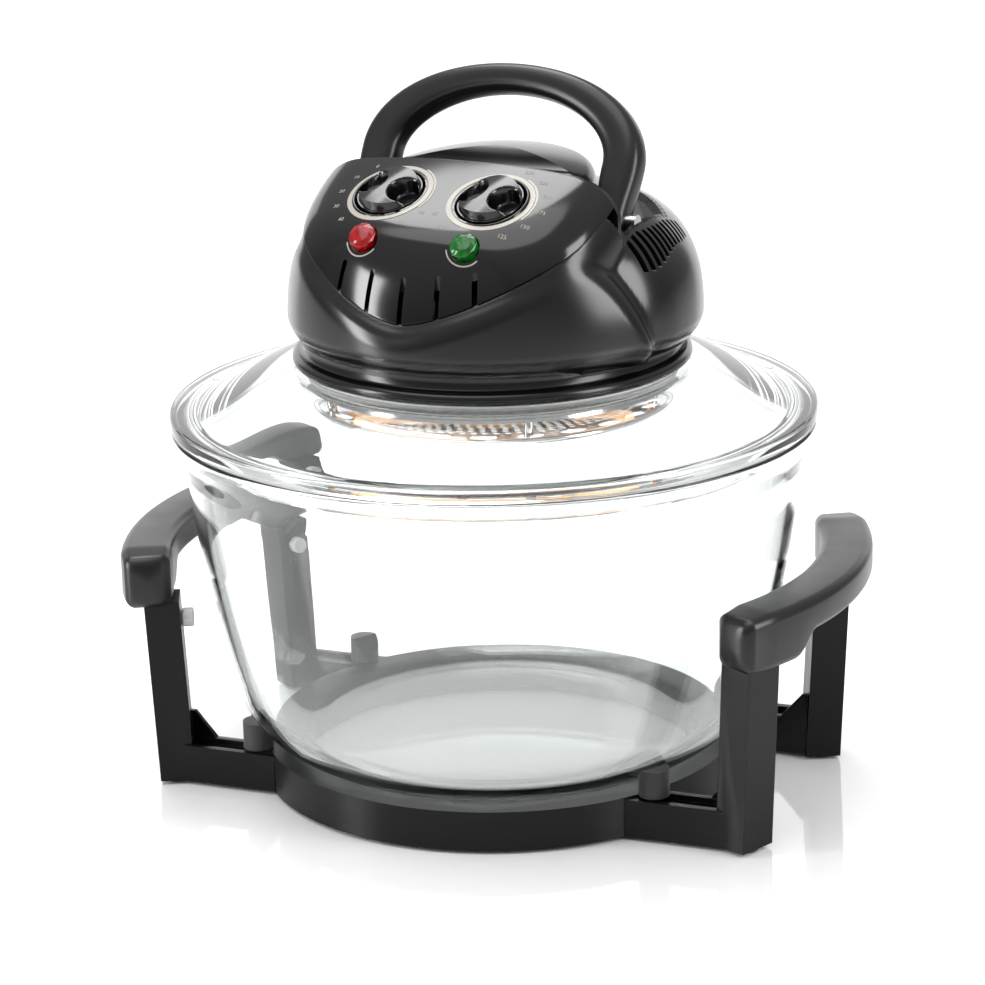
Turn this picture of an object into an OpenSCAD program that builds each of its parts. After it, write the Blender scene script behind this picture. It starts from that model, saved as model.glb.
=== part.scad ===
// Halogen air fryer: a glass bowl in a carrying stand, under a glass lid
// that holds the heater, the fan and the control head.
// The front of the stand faces -Y and the table is z = 0.

/* [Bowl] */
// Outer radius of the bowl's rim
rim_r = 167.5; // [140:0.5:210]
// Height of the bowl's rim above the table
rim_z = 196; // [165:1:240]
// Outer radius of the bowl's side just under its lip
side_r = 160.5; // [134:0.5:201]
// Radius of the flat under the bowl
base_r = 92; // [77:1:105]
// Height of the bowl's flat above the table
base_z = 20; // [14:1:26]
// Radius of the curve between the flat and the side
corner_r = 50; // [42:1:58]
// Glass thickness
glass_t = 5; // [4:0.5:6]

/* [Stand] */
// How far the base ring stands out past the bowl's flat
ring_past_flat = 33; // [28:1:36]
// Radial width of the base ring
ring_w = 20; // [16:1:24]
// Height of the base ring and of the arms
ring_h = 21; // [17:1:25]
// Distance from the middle to the outer face of the arms
arm_y = 79; // [70:1:88]
// Width of an arm
arm_w = 19; // [14:1:23]
// Radial depth of an upright
post_d = 18.5; // [15:0.5:22]
// Width of an upright round the bowl
post_w = 22.4; // [18:0.2:26]
// Direction of an upright, measured from the side of the stand
post_az = 24; // [20:1:28]
// Gap from the bowl's rim to the outer face of an upright's foot
post_past_rim = 14; // [12:0.5:22]
// How far an upright leans out over its height
post_lean = 4.5; // [2:0.5:7]
// Height of the top of the grips
grip_z = 131; // [110:1:157]
// Depth of a grip over an upright
grip_end_h = 29; // [24:1:35]
// Depth of a grip at its middle
grip_mid_h = 18; // [15:1:22]
// Radial width of a grip
grip_w = 27; // [23:1:32]
// How far the grips stand out past the bowl's rim
grip_past_rim = 29.5; // [27:0.5:35]

/* [Lid] */
// Radius of the hole in the glass lid
lid_hole_r = 96; // [88:0.5:98]
// Rise from the lid's rim to the top of the glass round the hole
lid_rise = 21.5; // [18:0.5:26]
// Thickness of the lid's rim
lid_rim_t = 7.7; // [6:0.1:9.2]

/* [Head] */
// Turn of the control head on the stand
head_turn = -7; // [-30:1:30]
// Outer radius of the collar under the head
collar_r = 103.5; // [101:0.5:110]
// Thickness of the collar's flange
collar_h = 6.5; // [5:0.5:8]
// Height of the dark groove between collar and head
groove_h = 5; // [4:0.5:7]
// Largest radius of the head's shell
dome_r = 106.5; // [104:0.5:112]
// Height of the shell's shoulder above the collar
dome_h = 84; // [80:1:96]
// Wall of the plastic shells
wall = 3; // [2:0.5:3.5]

/* [Controls] */
// Distance of each knob and lamp from the middle of the panel
knob_x = 28.5; // [26:0.5:32]
// Radius of a knob
knob_r = 17.2; // [15:0.1:17.4]
// Height of a knob's grip bar above its disc
knob_bar_h = 9; // [6:1:12]
// Radius of the scale ring round a knob
scale_r = 22.5; // [21:0.5:24]
// Radius of a lamp's lens
lens_r = 7.3; // [6:0.1:9]
// Number of vent slots in the front of the panel
panel_slots = 5; // [3:2:7]
// Number of louvres on each shoulder
louvres = 12; // [6:1:14]

/* [Carry handle] */
// Half the outer width of the handle
handle_x = 80; // [78:0.5:82]
// Length of the handle from its pivot to its top
handle_len = 78; // [72:1:90]
// Width of a leg and thickness at the top
handle_t = 18; // [15:0.5:19]
// Depth of the handle
handle_d = 19; // [15:0.5:20]
// Backward lean of the raised handle
handle_lean = 30; // [20:1:36]
// Radius of the pivot pins
pin_r = 4; // [3:0.25:4.5]

/* [Fits] */
// Radial clearance of a turning fit
run_gap = 0.05; // [0.02:0.01:0.09]
// Clearance between seated pieces of one assembly
seat_gap = 0.1; // [0.05:0.05:0.2]
// Clearance between the bowl and what it stands in or carries
lift_gap = 0.3; // [0.2:0.1:0.6]

/* [Hidden] */
$fn = 96;
far = 400;
eps = 1;

// Stand
foot_h = 2;
ring_z = foot_h;
ring_r = base_r + ring_past_flat;
ring_in_r = ring_r - ring_w;
ring_wall = 4;
post_out_r = rim_r + post_past_rim;
post_in_r = post_out_r - post_d;
post_top_z = grip_z - grip_end_h;
grip_out_r = rim_r + grip_past_rim;
grip_in_r = grip_out_r - grip_w;
grip_half_az = post_az + 6.5;
grip_end_az = 11.5;
arm_mid_y = arm_y - arm_w / 2;
tongue_w = 9;
tongue_h = 9;
tongue_in = 13;
tongue_z = ring_z + 6;
leg_screw_in = 9.5;
arm_root_x = sqrt(ring_r * ring_r - arm_mid_y * arm_mid_y);
screw_r = 2;
screw_head_r = 3.6;
screw_head_h = 2;
pad_az = asin(arm_mid_y / (ring_r + 5));
pad_at_r = ring_r + 5;
pad_r = 8;
pad_top_z = base_z + corner_r - sqrt(corner_r * corner_r - pow(pad_at_r - base_r, 2));

// Bowl
corner_tilt = 15;
lip_h = 24;
lip_in = 7;
rim_seat_z = rim_z + lift_gap;

// Lid
lid_rim_z = rim_seat_z + lid_rim_t;
lid_land_z = lid_rim_z + lid_rise;
lid_land_r = lid_hole_r + 8;
gasket_t = 1.5;
collar_z = lid_land_z + gasket_t;
gasket_in_r = lid_hole_r - 2.7;
gasket_out_r = lid_hole_r + 3.5;

// Head, with its own z measured from the underside of the collar
neck_r = collar_r - 6.5;
collar_in_r = collar_r - 17.5;
shell_z = collar_h + groove_h;
chassis_t = 2.5;
chassis_top = shell_z + chassis_t;
shell_foot_r = neck_r + 2;
bulge_z = shell_z + 12.5;
shelf_r = 70;
shelf_z = dome_h + 2;
screw_at_r = collar_in_r + 3.5;

// Control panel: its side outline runs up the front, over the lamps and the knobs
lip_y = -99;
lip_z = bulge_z + 15;
lamp_y = -81;
lamp_tilt = 47;
knob_y = -52;
knob_tilt = 26;
knob_z = dome_h + 10;
lamp_z = knob_z - 16.5;
panel_top_y = -24;
panel_top_z = knob_z + 12.5;
panel_half_x = 86;
console_r = 103;
console_y = 4;
well_r = knob_r + 0.8;
well_d = 5.5;
cup_t = 2.5;
lens_back = wall + 4.2;
cup_r = well_r + 2.3;
spindle_r = 3;
spindle_l = 22;
timer_w = 34;
timer_h = 24;

// Crown behind the panel
crown_r = 57;
crown_y = -6;
crown_z = panel_top_z + 1;
crown_ball_r = 180;

// Carry handle
handle_pivot_z = dome_h - 7;
handle_leg_x = handle_x - handle_t / 2;
handle_side_h = 40;
boss_r = 9;
cam_r = 10;
cam_lift = 3;
fold = 40;
cam_w = 8;
cam_gap = 0.5;
pocket_in = handle_x - handle_t - 2.5;
pocket_out = handle_x + 3;
pocket_y0 = -13.5;
pocket_y1 = 50;
pocket_z = handle_pivot_z - cam_r - cam_lift - 1;
plunger_r = 2.4;

// Motor and fans
shaft_r = 3;
bush_r = 5;
boss_h = 6;
motor_z = chassis_top;
bracket_t = 2.5;
bracket_r = 36;
stator_r = 34;
stator_h = 16;
stator_z = motor_z + 9;
rotor_r = 15.7;
stator_bore_r = 16.2;
motor_top = stator_z + stator_h + 7.5;
pillar_r = 2;
pillar_at = 30;

// Heater
reflector_t = 1;
reflector_r = gasket_in_r - 1;
skirt_h = 13;
tube_ring_r = 68;
tube_r = 5;
tube_z = -14;
guard_z = -27;
guard_r = 90;
guard_t = 1.2;

// A point on a cubic curve from a to d with handles b and c.
function bez(a, b, c, d, t) =
    pow(1 - t, 3) * a + 3 * pow(1 - t, 2) * t * b + 3 * (1 - t) * t * t * c + pow(t, 3) * d;

// Points along that curve, in equal steps of its parameter.
function curve(a, b, c, d, n = 8) = [for (i = [0 : n]) bez(a, b, c, d, i / n)];

// Points of an arc about c from angle a0 to angle a1.
function arc(c, r, a0, a1, n = 8) =
    [for (i = [0 : n]) c + r * [cos(a0 + (a1 - a0) * i / n), sin(a0 + (a1 - a0) * i / n)]];

// The bowl's outer side from its flat to its lip, moved inwards by inset.
function bowl_side(inset) = let (
        c = [base_r, base_z + corner_r],
        low = c + (corner_r - inset) * [cos(corner_tilt), -sin(corner_tilt)],
        top = [side_r - inset, rim_z - lip_h],
        up = [sin(corner_tilt), cos(corner_tilt)],
        reach = (top[1] - low[1]) / 3
    ) concat(
        arc(c, corner_r - inset, -90, -corner_tilt, 10),
        curve(low, low + reach * up, top - reach * [0.1, 1], top, 8));

// The lip that flares from the bowl's side to its rim.
function bowl_lip(inset) = curve(
    [side_r - inset, rim_z - lip_h],
    [side_r + 1 - inset, rim_z - lip_h * 0.7],
    [rim_r - 1 - inset, rim_z - lip_h * 0.4],
    [rim_r - inset, rim_z - 5], 5);

// The head's dome from its foot to its shelf, moved inwards by inset.
function dome(inset) = concat(
    curve([shell_foot_r - inset, shell_z], [shell_foot_r + 5 - inset, shell_z + 2.5],
        [dome_r - inset, bulge_z - 5], [dome_r - inset, bulge_z], 4),
    curve([dome_r - inset, bulge_z], [dome_r - inset, bulge_z + 29],
        [97 - inset, dome_h - 5 - inset], [shelf_r, dome_h - inset], 12));

// The side outline of the control panel's face, sunk by drop, as y and z.
function panel_face(drop) = let (
        lamp_dir = [cos(lamp_tilt), sin(lamp_tilt)],
        knob_dir = [cos(knob_tilt), sin(knob_tilt)],
        lamp = [lamp_y, lamp_z] + drop * [lamp_dir[1], -lamp_dir[0]],
        knob = [knob_y, knob_z] + drop * [knob_dir[1], -knob_dir[0]],
        foot = [lip_y - 7 + drop, lip_z + 3],
        top = [panel_top_y, panel_top_z - drop]
    ) concat(
        curve(foot, foot + [1, 12], lamp - 12 * lamp_dir, lamp, 6),
        curve(lamp, lamp + 8 * lamp_dir, knob - 10 * knob_dir, knob, 6),
        curve(knob, knob + 9 * knob_dir, top - 8 * [0.93, 0.37], top, 4));

// Places its children on the head: z is measured from the collar's underside.
module on_head() {
    translate([0, 0, collar_z]) rotate([0, 0, head_turn]) children();
}

// Extrudes an outline of y and z points across the head.
module across(w, points) {
    translate([-w / 2, 0, 0]) rotate([90, 0, 90]) linear_extrude(w) polygon(points);
}

// A ring between two radii.
module tube(r_out, r_in, h, z = 0) {
    translate([0, 0, z]) difference() {
        cylinder(r = r_out, h = h);
        translate([0, 0, -eps]) cylinder(r = r_in, h = h + 2 * eps);
    }
}

// The space that the seated bowl takes up, with its clearance.
module bowl_room() {
    rotate_extrude() polygon(concat([[0, base_z - lift_gap]], bowl_side(-lift_gap), [[0, rim_z - lip_h]]));
}

// The four corners of the stand, from one drawn at the front right.
module each_corner() {
    for (sx = [0, 1], sy = [0, 1])
        mirror([sx, 0, 0]) mirror([0, sy, 0]) children();
}

// Places its children at the foot of the front right upright, x pointing outwards.
module at_post() {
    rotate([0, 0, -post_az]) children();
}

// A pan-head screw that points up from its head.
module screw(length) {
    cylinder(r = screw_head_r, h = screw_head_h, $fn = 32);
    translate([0, 0, screw_head_h]) cylinder(r = screw_r, h = length, $fn = 24);
}

// ---- Stand ----

module stand_ring() {
    color("#1c1c1e") difference() {
        tube(ring_r, ring_in_r, ring_h, ring_z);
        tube(ring_r - ring_wall, ring_in_r + ring_wall, 5 + eps, ring_z - eps);
        bowl_room();
        each_corner() {
            translate([arm_root_x - tongue_in - 1, -arm_mid_y - tongue_w / 2 - seat_gap, tongue_z - seat_gap])
                cube([tongue_in + 20, tongue_w + 2 * seat_gap, tongue_h + 2 * seat_gap]);
            translate([arm_root_x - leg_screw_in, -arm_mid_y, 0])
                cylinder(r = screw_r + seat_gap, h = tongue_z + eps, $fn = 24);
        }
    }
}

// The arm and upright at the front right.
module leg() {
    arm_x1 = post_in_r * cos(post_az) + 4;
    color("#1c1c1e") difference() {
        union() {
            difference() {
                translate([arm_root_x - 12, -arm_y, ring_z]) cube([arm_x1 - arm_root_x + 12, arm_w, ring_h - 1]);
                translate([arm_root_x, -arm_y + 4, ring_z + ring_h - 4])
                    cube([arm_x1 - arm_root_x, arm_w - 8, 4]);
                translate([0, 0, -eps]) cylinder(r = ring_r + seat_gap, h = far);
            }
            translate([arm_root_x - tongue_in, -arm_mid_y - tongue_w / 2, tongue_z])
                cube([tongue_in + 14, tongue_w, tongue_h]);
            at_post() translate([0, post_w / 2, 0]) rotate([90, 0, 0]) linear_extrude(post_w) polygon([
                [post_in_r, foot_h], [post_out_r, foot_h],
                [post_out_r + post_lean, post_top_z], [post_in_r + post_lean, post_top_z]]);
            translate([arm_x1 - 16, -arm_y + arm_w - 3, ring_z + ring_h - 2])
                rotate([90, 0, 0]) translate([0, 0, -3]) linear_extrude(3)
                    polygon([[0, 0], [17, 0], [17, 15], [13, 15]]);
        }
        translate([arm_root_x - leg_screw_in, -arm_mid_y, 0])
            cylinder(r = screw_r + seat_gap, h = tongue_z + tongue_h - 2, $fn = 24);
        at_post() translate([post_out_r - post_d / 2 + post_lean, 0, post_top_z - 14])
            cylinder(r = screw_r + seat_gap, h = 14 + eps, $fn = 24);
        at_post() translate([post_out_r - post_d / 2, 0, 0])
            cylinder(r = 5 + seat_gap, h = foot_h + 2, $fn = 32);
        at_post() translate([post_in_r + post_lean - 1, 0, post_top_z - 12]) rotate([0, 90, 0])
            cylinder(r = 3 + seat_gap, h = 6, $fn = 32);
    }
}

// The curved grip that caps the two uprights on the right.
module grip() {
    color("#232326") difference() {
        intersection() {
            tube(grip_out_r, grip_in_r, grip_end_h, post_top_z);
            rotate([0, 0, -grip_half_az]) cube([far, far, far]);
            rotate([0, 0, grip_half_az - 90]) cube([far, far, far]);
        }
        intersection() {
            translate([0, 0, post_top_z - eps]) cylinder(r = far, h = grip_end_h - grip_mid_h + eps);
            rotate([0, 0, -post_az + grip_end_az / 2]) cube([far, far, far]);
            rotate([0, 0, post_az - grip_end_az / 2 - 90]) cube([far, far, far]);
        }
        for (s = [-1, 1]) rotate([0, 0, s * post_az])
            translate([post_out_r - post_d / 2 + post_lean, 0, post_top_z - eps])
                cylinder(r = screw_r + seat_gap, h = 15 + eps, $fn = 24);
    }
}

module bowl_bumpers() {
    color("#f2f2ee") each_corner() at_post()
        translate([post_in_r + post_lean - 7, 0, post_top_z - 12]) rotate([0, 90, 0]) {
            translate([0, 0, 5]) cylinder(r = 3, h = 6, $fn = 32);
            cylinder(r = 5, h = 6, $fn = 32);
        }
}

// The soft pads on the arm roots that the bowl's curve rests on.
module bowl_pads() {
    color("#161616") difference() {
        each_corner() rotate([0, 0, -pad_az]) translate([pad_at_r, 0, ring_z + ring_h])
            cylinder(r = pad_r, h = pad_top_z - ring_z - ring_h, $fn = 48);
        bowl_room();
    }
}

module stand_feet() {
    color("#3a3a3c") each_corner() at_post() translate([post_out_r - post_d / 2, 0, 0]) {
        cylinder(r = 7.5, h = foot_h - seat_gap, $fn = 32);
        cylinder(r = 5, h = foot_h + 1.8, $fn = 32);
    }
}

module leg_screws() {
    color("#b8babd") each_corner()
        translate([arm_root_x - leg_screw_in, -arm_mid_y, ring_z + 3]) screw(tongue_h - 1.2);
}

module grip_screws() {
    color("#b8babd") each_corner() at_post()
        translate([post_out_r - post_d / 2 + post_lean, 0, post_top_z - 13])
            cylinder(r = screw_r, h = 26, $fn = 24);
}

// ---- Bowl ----

module glass_bowl() {
    color("#dfeaec", 0.35) rotate_extrude() polygon(concat(
        [[0, base_z]], bowl_side(0), bowl_lip(0),
        arc([rim_r - 2.5, rim_z - 2.5], 2.5, 0, 90, 4), arc([rim_r - glass_t + 1.5, rim_z - 1.5], 1.5, 90, 180, 3),
        [for (p = [5 : -1 : 1]) bowl_lip(glass_t)[p]],
        [for (p = [19 : -1 : 0]) bowl_side(glass_t)[p]],
        [[0, base_z + glass_t]]));
}

// ---- Lid ----

module glass_lid() {
    skirt_r = rim_r - 8.7;
    top_r = rim_r - 8;
    slope = [lid_land_r + 20, lid_land_z - 2];
    under = [lid_land_r + 20, lid_land_z - glass_t - 2];
    color("#dfeaec", 0.35) rotate_extrude() polygon(concat(
        [[lid_hole_r, lid_land_z]],
        curve([lid_land_r, lid_land_z], slope, [top_r - 16, lid_rim_z + 5], [top_r, lid_rim_z], 8),
        arc([rim_r - 1.5, lid_rim_z - 2], 2, 90, 0, 3), arc([rim_r - 1, rim_seat_z + 1.5], 1.5, 0, -90, 3),
        [[skirt_r + 2, rim_seat_z], [skirt_r, rim_seat_z - 1.5], [skirt_r - 1, rim_seat_z - 8]],
        arc([skirt_r - 3.2, rim_seat_z - 8], 2.2, 0, -180, 4),
        [for (p = [8 : -1 : 0]) curve([lid_land_r, lid_land_z - glass_t], under,
            [skirt_r - 24, lid_rim_z], [skirt_r - 5.6, rim_seat_z - 2], 8)[p]],
        [[lid_hole_r, lid_land_z - glass_t]]));
}

module lid_gasket() {
    foot_z = lid_land_z - glass_t;
    color("#f4f4f0") rotate_extrude() polygon([
        [gasket_in_r, foot_z - 2], [gasket_out_r, foot_z - 2], [gasket_out_r, foot_z - seat_gap],
        [lid_hole_r - seat_gap, foot_z - seat_gap], [lid_hole_r - seat_gap, lid_land_z + seat_gap],
        [gasket_out_r, lid_land_z + seat_gap], [gasket_out_r, collar_z], [gasket_in_r, collar_z]]);
}

module at_shell_screws() {
    for (a = [45 : 90 : 315]) rotate([0, 0, a]) translate([screw_at_r, 0, 0]) children();
}

module collar_ring() {
    edge = collar_h / 2;
    color("#141415") on_head() difference() {
        rotate_extrude() polygon(concat(
            [[collar_in_r, 0]], arc([collar_r - edge, edge], edge, -90, 90, 8),
            [[neck_r, collar_h], [neck_r, shell_z], [collar_in_r, shell_z]]));
        at_shell_screws() translate([0, 0, -eps]) cylinder(r = screw_r + seat_gap, h = far, $fn = 24);
    }
}

module reflector() {
    color("#d8dadd") on_head() difference() {
        rotate_extrude() polygon([
            [8, -reflector_t], [reflector_r - 4, -reflector_t], [reflector_r - 1, -skirt_h], [reflector_r, -skirt_h],
            [reflector_r - 3, 0], [8, 0]]);
        at_shell_screws() translate([0, 0, -5]) cylinder(r = screw_head_r + 1, h = 10, $fn = 32);
    }
}

module heat_shield() {
    color("#c9c2b0") on_head() tube(collar_in_r - 0.5, 10, 1.5);
}

// The open ring of the tube, grown by gap round its section and at its ends.
module open_ring(gap) {
    half_opening = 12 - gap;
    translate([0, 0, tube_z]) rotate([0, 0, 90 + half_opening]) rotate_extrude(angle = 360 - 2 * half_opening)
        translate([tube_ring_r, 0]) circle(r = tube_r + gap, $fn = 32);
}

module halogen_tube() {
    color("#f6e3b5") on_head() open_ring(0);
}

module tube_end_caps() {
    color("#efece4") on_head() difference() {
        for (a = [-1, 1]) rotate([0, 0, 90 + a * 9.7])
            translate([tube_ring_r - 7, -4, tube_z - 6]) cube([14, 8, -tube_z + 6 - reflector_t]);
        open_ring(seat_gap);
    }
}

module tube_clips() {
    clip_w = 3;
    color("#c7c9cc") on_head() for (a = [-150, -30]) rotate([0, 0, a]) {
        translate([tube_ring_r, clip_w / 2, tube_z]) rotate([90, 0, 0]) difference() {
            cylinder(r = tube_r + 1.2, h = clip_w, $fn = 48);
            translate([0, 0, -eps]) cylinder(r = tube_r + seat_gap, h = clip_w + 2 * eps, $fn = 48);
            translate([-far / 2, -far - 3, -eps]) cube([far, far, clip_w + 2 * eps]);
        }
        translate([tube_ring_r - 1, -clip_w / 2, tube_z + tube_r + 0.7])
            cube([2, clip_w, -tube_z - tube_r - 0.7 - reflector_t]);
    }
}

module fan_guard() {
    color("#c9ccd0") on_head() translate([0, 0, guard_z]) difference() {
        union() {
            cylinder(r = guard_r + 0.5, h = guard_t);
            rotate_extrude() translate([guard_r + 1.8, guard_t / 2]) circle(r = 1.9, $fn = 32);
        }
        for (ring = [1 : 5], a = [0 : 360 / (8 * ring) : 359])
            rotate([0, 0, a + 4 * ring]) translate([13 * ring + 6, 0, -eps])
                cylinder(r = 2.6, h = guard_t + 2 * eps, $fn = 16);
    }
}

module guard_posts() {
    color("#b9bcc0") on_head() for (a = [40 : 90 : 310]) rotate([0, 0, a])
        translate([guard_r - 6, 0, guard_z + guard_t])
            cylinder(r = 2.5, h = -guard_z - guard_t - reflector_t, $fn = 32);
}

// ---- Head ----

module chassis_plate() {
    color("#b4b7ba") on_head() difference() {
        translate([0, 0, shell_z]) cylinder(r = neck_r - 1.5, h = chassis_t);
        translate([0, 0, shell_z - eps]) cylinder(r = bush_r + 2, h = chassis_t + 2 * eps);
        at_shell_screws() cylinder(r = screw_r + seat_gap, h = far, $fn = 24);
        for (a = [0 : 30 : 330]) rotate([0, 0, a + 15]) translate([62, 0, 0]) cylinder(r = 7, h = far, $fn = 32);
    }
}

// The block under the control panel, shrunk by inset.
module console(inset) {
    intersection() {
        translate([0, console_y, bulge_z]) cylinder(r = console_r - inset, h = far);
        across(2 * (panel_half_x - inset), concat(panel_face(inset),
            [[panel_top_y + 4 - inset, panel_top_z - 5 - inset], [panel_top_y + 4 - inset, bulge_z],
            [lip_y - 7 + inset, bulge_z]]));
    }
}

// The space that the control panel takes out of the shell, grown by gap.
module panel_zone(gap) {
    across(far, [[-far, lip_z - far], [lip_y, lip_z - gap], [lip_y + 38, lip_z + 42 - gap],
        [panel_top_y + gap, panel_top_z - 8 - gap], [panel_top_y + gap, far], [-far, far]]);
}

// The head's solid outside, before it is hollowed.
module dome_solid(inset) {
    rotate_extrude() polygon(concat([[0, shell_z - (inset > 0 ? eps : 0)]],
        inset > 0 ? [[shell_foot_r - inset, shell_z - eps]] : [],
        dome(inset), [[0, shelf_z - inset]]));
}

// The channels that the handle's legs lie in, grown by gap at the sides and below.
module handle_pockets(gap) {
    w = pocket_out - pocket_in + 2 * gap;
    floor_z = pocket_z - gap;
    rise = [13.5, handle_pivot_z - 7.5 - gap];
    for (s = [-1, 1]) translate([s * (pocket_in + pocket_out) / 2, 0, 0]) across(w, [
        [pocket_y0 - gap, floor_z], [rise[0] + gap, floor_z], rise + [gap, 0],
        [pocket_y1 + gap, rise[1] + 12], [pocket_y1 + gap, far], [pocket_y0 - gap, far]]);
}

module head_shell() {
    tray = 2.2;
    color("#202023") on_head() difference() {
        union() {
            difference() {
                union() {
                    dome_solid(0);
                    console(0);
                }
                dome_solid(wall);
                console(wall);
            }
            intersection() {
                dome_solid(0);
                handle_pockets(tray);
            }
            intersection() {
                dome_solid(0);
                at_shell_screws() translate([0, 0, chassis_top]) cylinder(r = 5, h = 12, $fn = 48);
            }
            intersection() {
                dome_solid(0);
                for (a = [45 : 90 : 315]) rotate([0, 0, a])
                    translate([screw_at_r + 3, -1.5, chassis_top]) cube([far, 3, 12]);
            }
        }
        panel_zone(0);
        handle_pockets(0);
        translate([0, 0, handle_pivot_z]) rotate([0, 90, 0])
            cylinder(r = pin_r + seat_gap, h = far, center = true, $fn = 48);
        translate([handle_leg_x, 0, pocket_z - far / 2]) cylinder(r = plunger_r + run_gap, h = far, $fn = 32);
        at_shell_screws() cylinder(r = screw_r + seat_gap, h = chassis_top + 10, $fn = 24);
        for (m = [0, 1]) mirror([m, 0, 0]) for (i = [0 : louvres - 1])
            rotate([0, 0, -11 + 36 * i / (louvres - 1)]) translate([80, -0.8, bulge_z + 32])
                cube([far, 1.6, dome_h - 11 - bulge_z - 32]);
        translate([-14.5, 80, bulge_z + 2]) cube([29, far, 22]);
    }
}

module rear_crown() {
    shelf = shelf_z - 1;
    color("#202023") on_head() difference() {
        intersection() {
            translate([0, crown_y, shelf]) cylinder(r = crown_r, h = far);
            translate([0, crown_y + 20, crown_z - crown_ball_r]) sphere(r = crown_ball_r, $fn = 180);
            translate([-far, crown_y, 0]) cube([2 * far, far, far]);
        }
        intersection() {
            translate([0, crown_y, shelf - eps]) cylinder(r = crown_r - wall, h = far);
            translate([0, crown_y + 20, crown_z - crown_ball_r]) sphere(r = crown_ball_r - wall, $fn = 180);
            translate([-far, crown_y + wall, 0]) cube([2 * far, far, far]);
        }
        dome_solid(0);
    }
}

// Places its children on the panel's face at a knob, z pointing out of it.
module at_knob(side) {
    translate([side * knob_x, knob_y, knob_z]) rotate([knob_tilt, 0, 0]) children();
}

// Places its children on the panel's face at a lamp, z pointing out of it.
module at_lamp(side) {
    translate([side * knob_x, lamp_y, lamp_z]) rotate([lamp_tilt, 0, 0]) children();
}

// A cylinder whose seam is turned off the folds of the panel's face.
module round_cut(r, depth) {
    translate([0, 0, -depth]) rotate([0, 0, 37]) cylinder(r = r, h = 20);
}

module control_panel() {
    color("#0d0d0f") on_head() difference() {
        union() {
            difference() {
                intersection() {
                    console(0);
                    panel_zone(-seat_gap);
                }
                console(wall);
            }
            for (s = [-1, 1]) at_knob(s) translate([0, 0, -well_d - cup_t]) rotate([0, 0, 53])
                cylinder(r = cup_r, h = well_d + cup_t - 0.5);
        }
        for (s = [-1, 1]) {
            at_knob(s) round_cut(well_r, well_d);
            at_knob(s) round_cut(spindle_r + run_gap, well_d + cup_t + eps);
            at_lamp(s) round_cut(lens_r + seat_gap, 8);
        }
        for (i = [0 : panel_slots - 1]) translate([0, console_y, 0])
            rotate([0, 0, (i - (panel_slots - 1) / 2) * 11.2]) translate([-1.2, -console_r - 5, lip_z + 5])
                cube([2.4, 20, 17]);
    }
}

module scale_rings() {
    color("#b9b5ac") on_head() for (s = [-1, 1]) at_knob(s) tube(scale_r, scale_r - 2.6, 0.3, seat_gap);
}

module lens(side) {
    on_head() at_lamp(side) {
        intersection() {
            translate([0, 0, -wall - 2]) cylinder(r = lens_r, h = 20, $fn = 64);
            translate([0, 0, -17]) sphere(r = 18.8, $fn = 96);
        }
        translate([0, 0, -lens_back]) cylinder(r = lens_r + 1.5, h = 2.5, $fn = 64);
    }
}

module power_lens() {
    color("#c8101a", 0.85) lens(-1);
}

module heat_lens() {
    color("#0f7a2c", 0.85) lens(1);
}

module neon_lamps() {
    color("#f0e0d0") on_head() for (s = [-1, 1]) at_lamp(s) translate([0, 0, -lens_back - 15])
        cylinder(r = 4.5, h = 15, $fn = 32);
}

// A boxed movement that hangs behind a knob's cup, with a bore for the spindle.
module movement(side) {
    on_head() at_knob(side) translate([0, 0, -well_d - cup_t - timer_h]) difference() {
        translate([-timer_w / 2, -timer_w / 2, 0]) cube([timer_w, timer_w, timer_h]);
        translate([0, 0, timer_h - spindle_l + 6]) cylinder(r = spindle_r + run_gap, h = far, $fn = 48);
    }
}

module timer_body() {
    color("#d9d6c8") movement(-1);
}

module thermostat_body() {
    color("#cfcabb") movement(1);
}

// ---- Motor, wiring and safety switch ----

module motor_stator() {
    color("#7d7f82") on_head() translate([0, 0, stator_z]) difference() {
        cylinder(r = stator_r, h = stator_h);
        translate([0, 0, -eps]) cylinder(r = stator_bore_r, h = far);
        for (a = [45 : 90 : 315]) rotate([0, 0, a]) translate([pillar_at, 0, -eps])
            cylinder(r = pillar_r + seat_gap, h = far, $fn = 24);
    }
}

module motor_coils() {
    color("#b4622d") on_head() for (z = [stator_z - 5.2, stator_z + stator_h + 0.2]) tube(26, 18, 5, z);
}

// A round plate with a bearing boss on one side.
module motor_bracket(boss_z) {
    difference() {
        union() {
            cylinder(r = bracket_r, h = bracket_t);
            translate([0, 0, boss_z]) cylinder(r = bush_r + 3, h = boss_h);
        }
        translate([0, 0, -far / 2]) cylinder(r = bush_r + seat_gap, h = far, $fn = 48);
        for (a = [45 : 90 : 315]) rotate([0, 0, a]) translate([pillar_at, 0, -eps])
            cylinder(r = pillar_r + seat_gap, h = far, $fn = 24);
    }
}

module motor_bracket_lower() {
    color("#a9acb0") on_head() translate([0, 0, motor_z]) motor_bracket(0);
}

module motor_bracket_upper() {
    color("#a9acb0") on_head() translate([0, 0, motor_top]) motor_bracket(bracket_t - boss_h);
}

module motor_pillars() {
    color("#c5c7ca") on_head() for (a = [45 : 90 : 315]) rotate([0, 0, a])
        translate([pillar_at, 0, motor_z]) cylinder(r = pillar_r, h = motor_top + bracket_t - motor_z + 2, $fn = 24);
}

module shaft_bearings() {
    color("#a67c3a") on_head() for (z = [motor_z, motor_top + bracket_t - boss_h])
        tube(bush_r, shaft_r + run_gap, boss_h, z);
}

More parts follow.
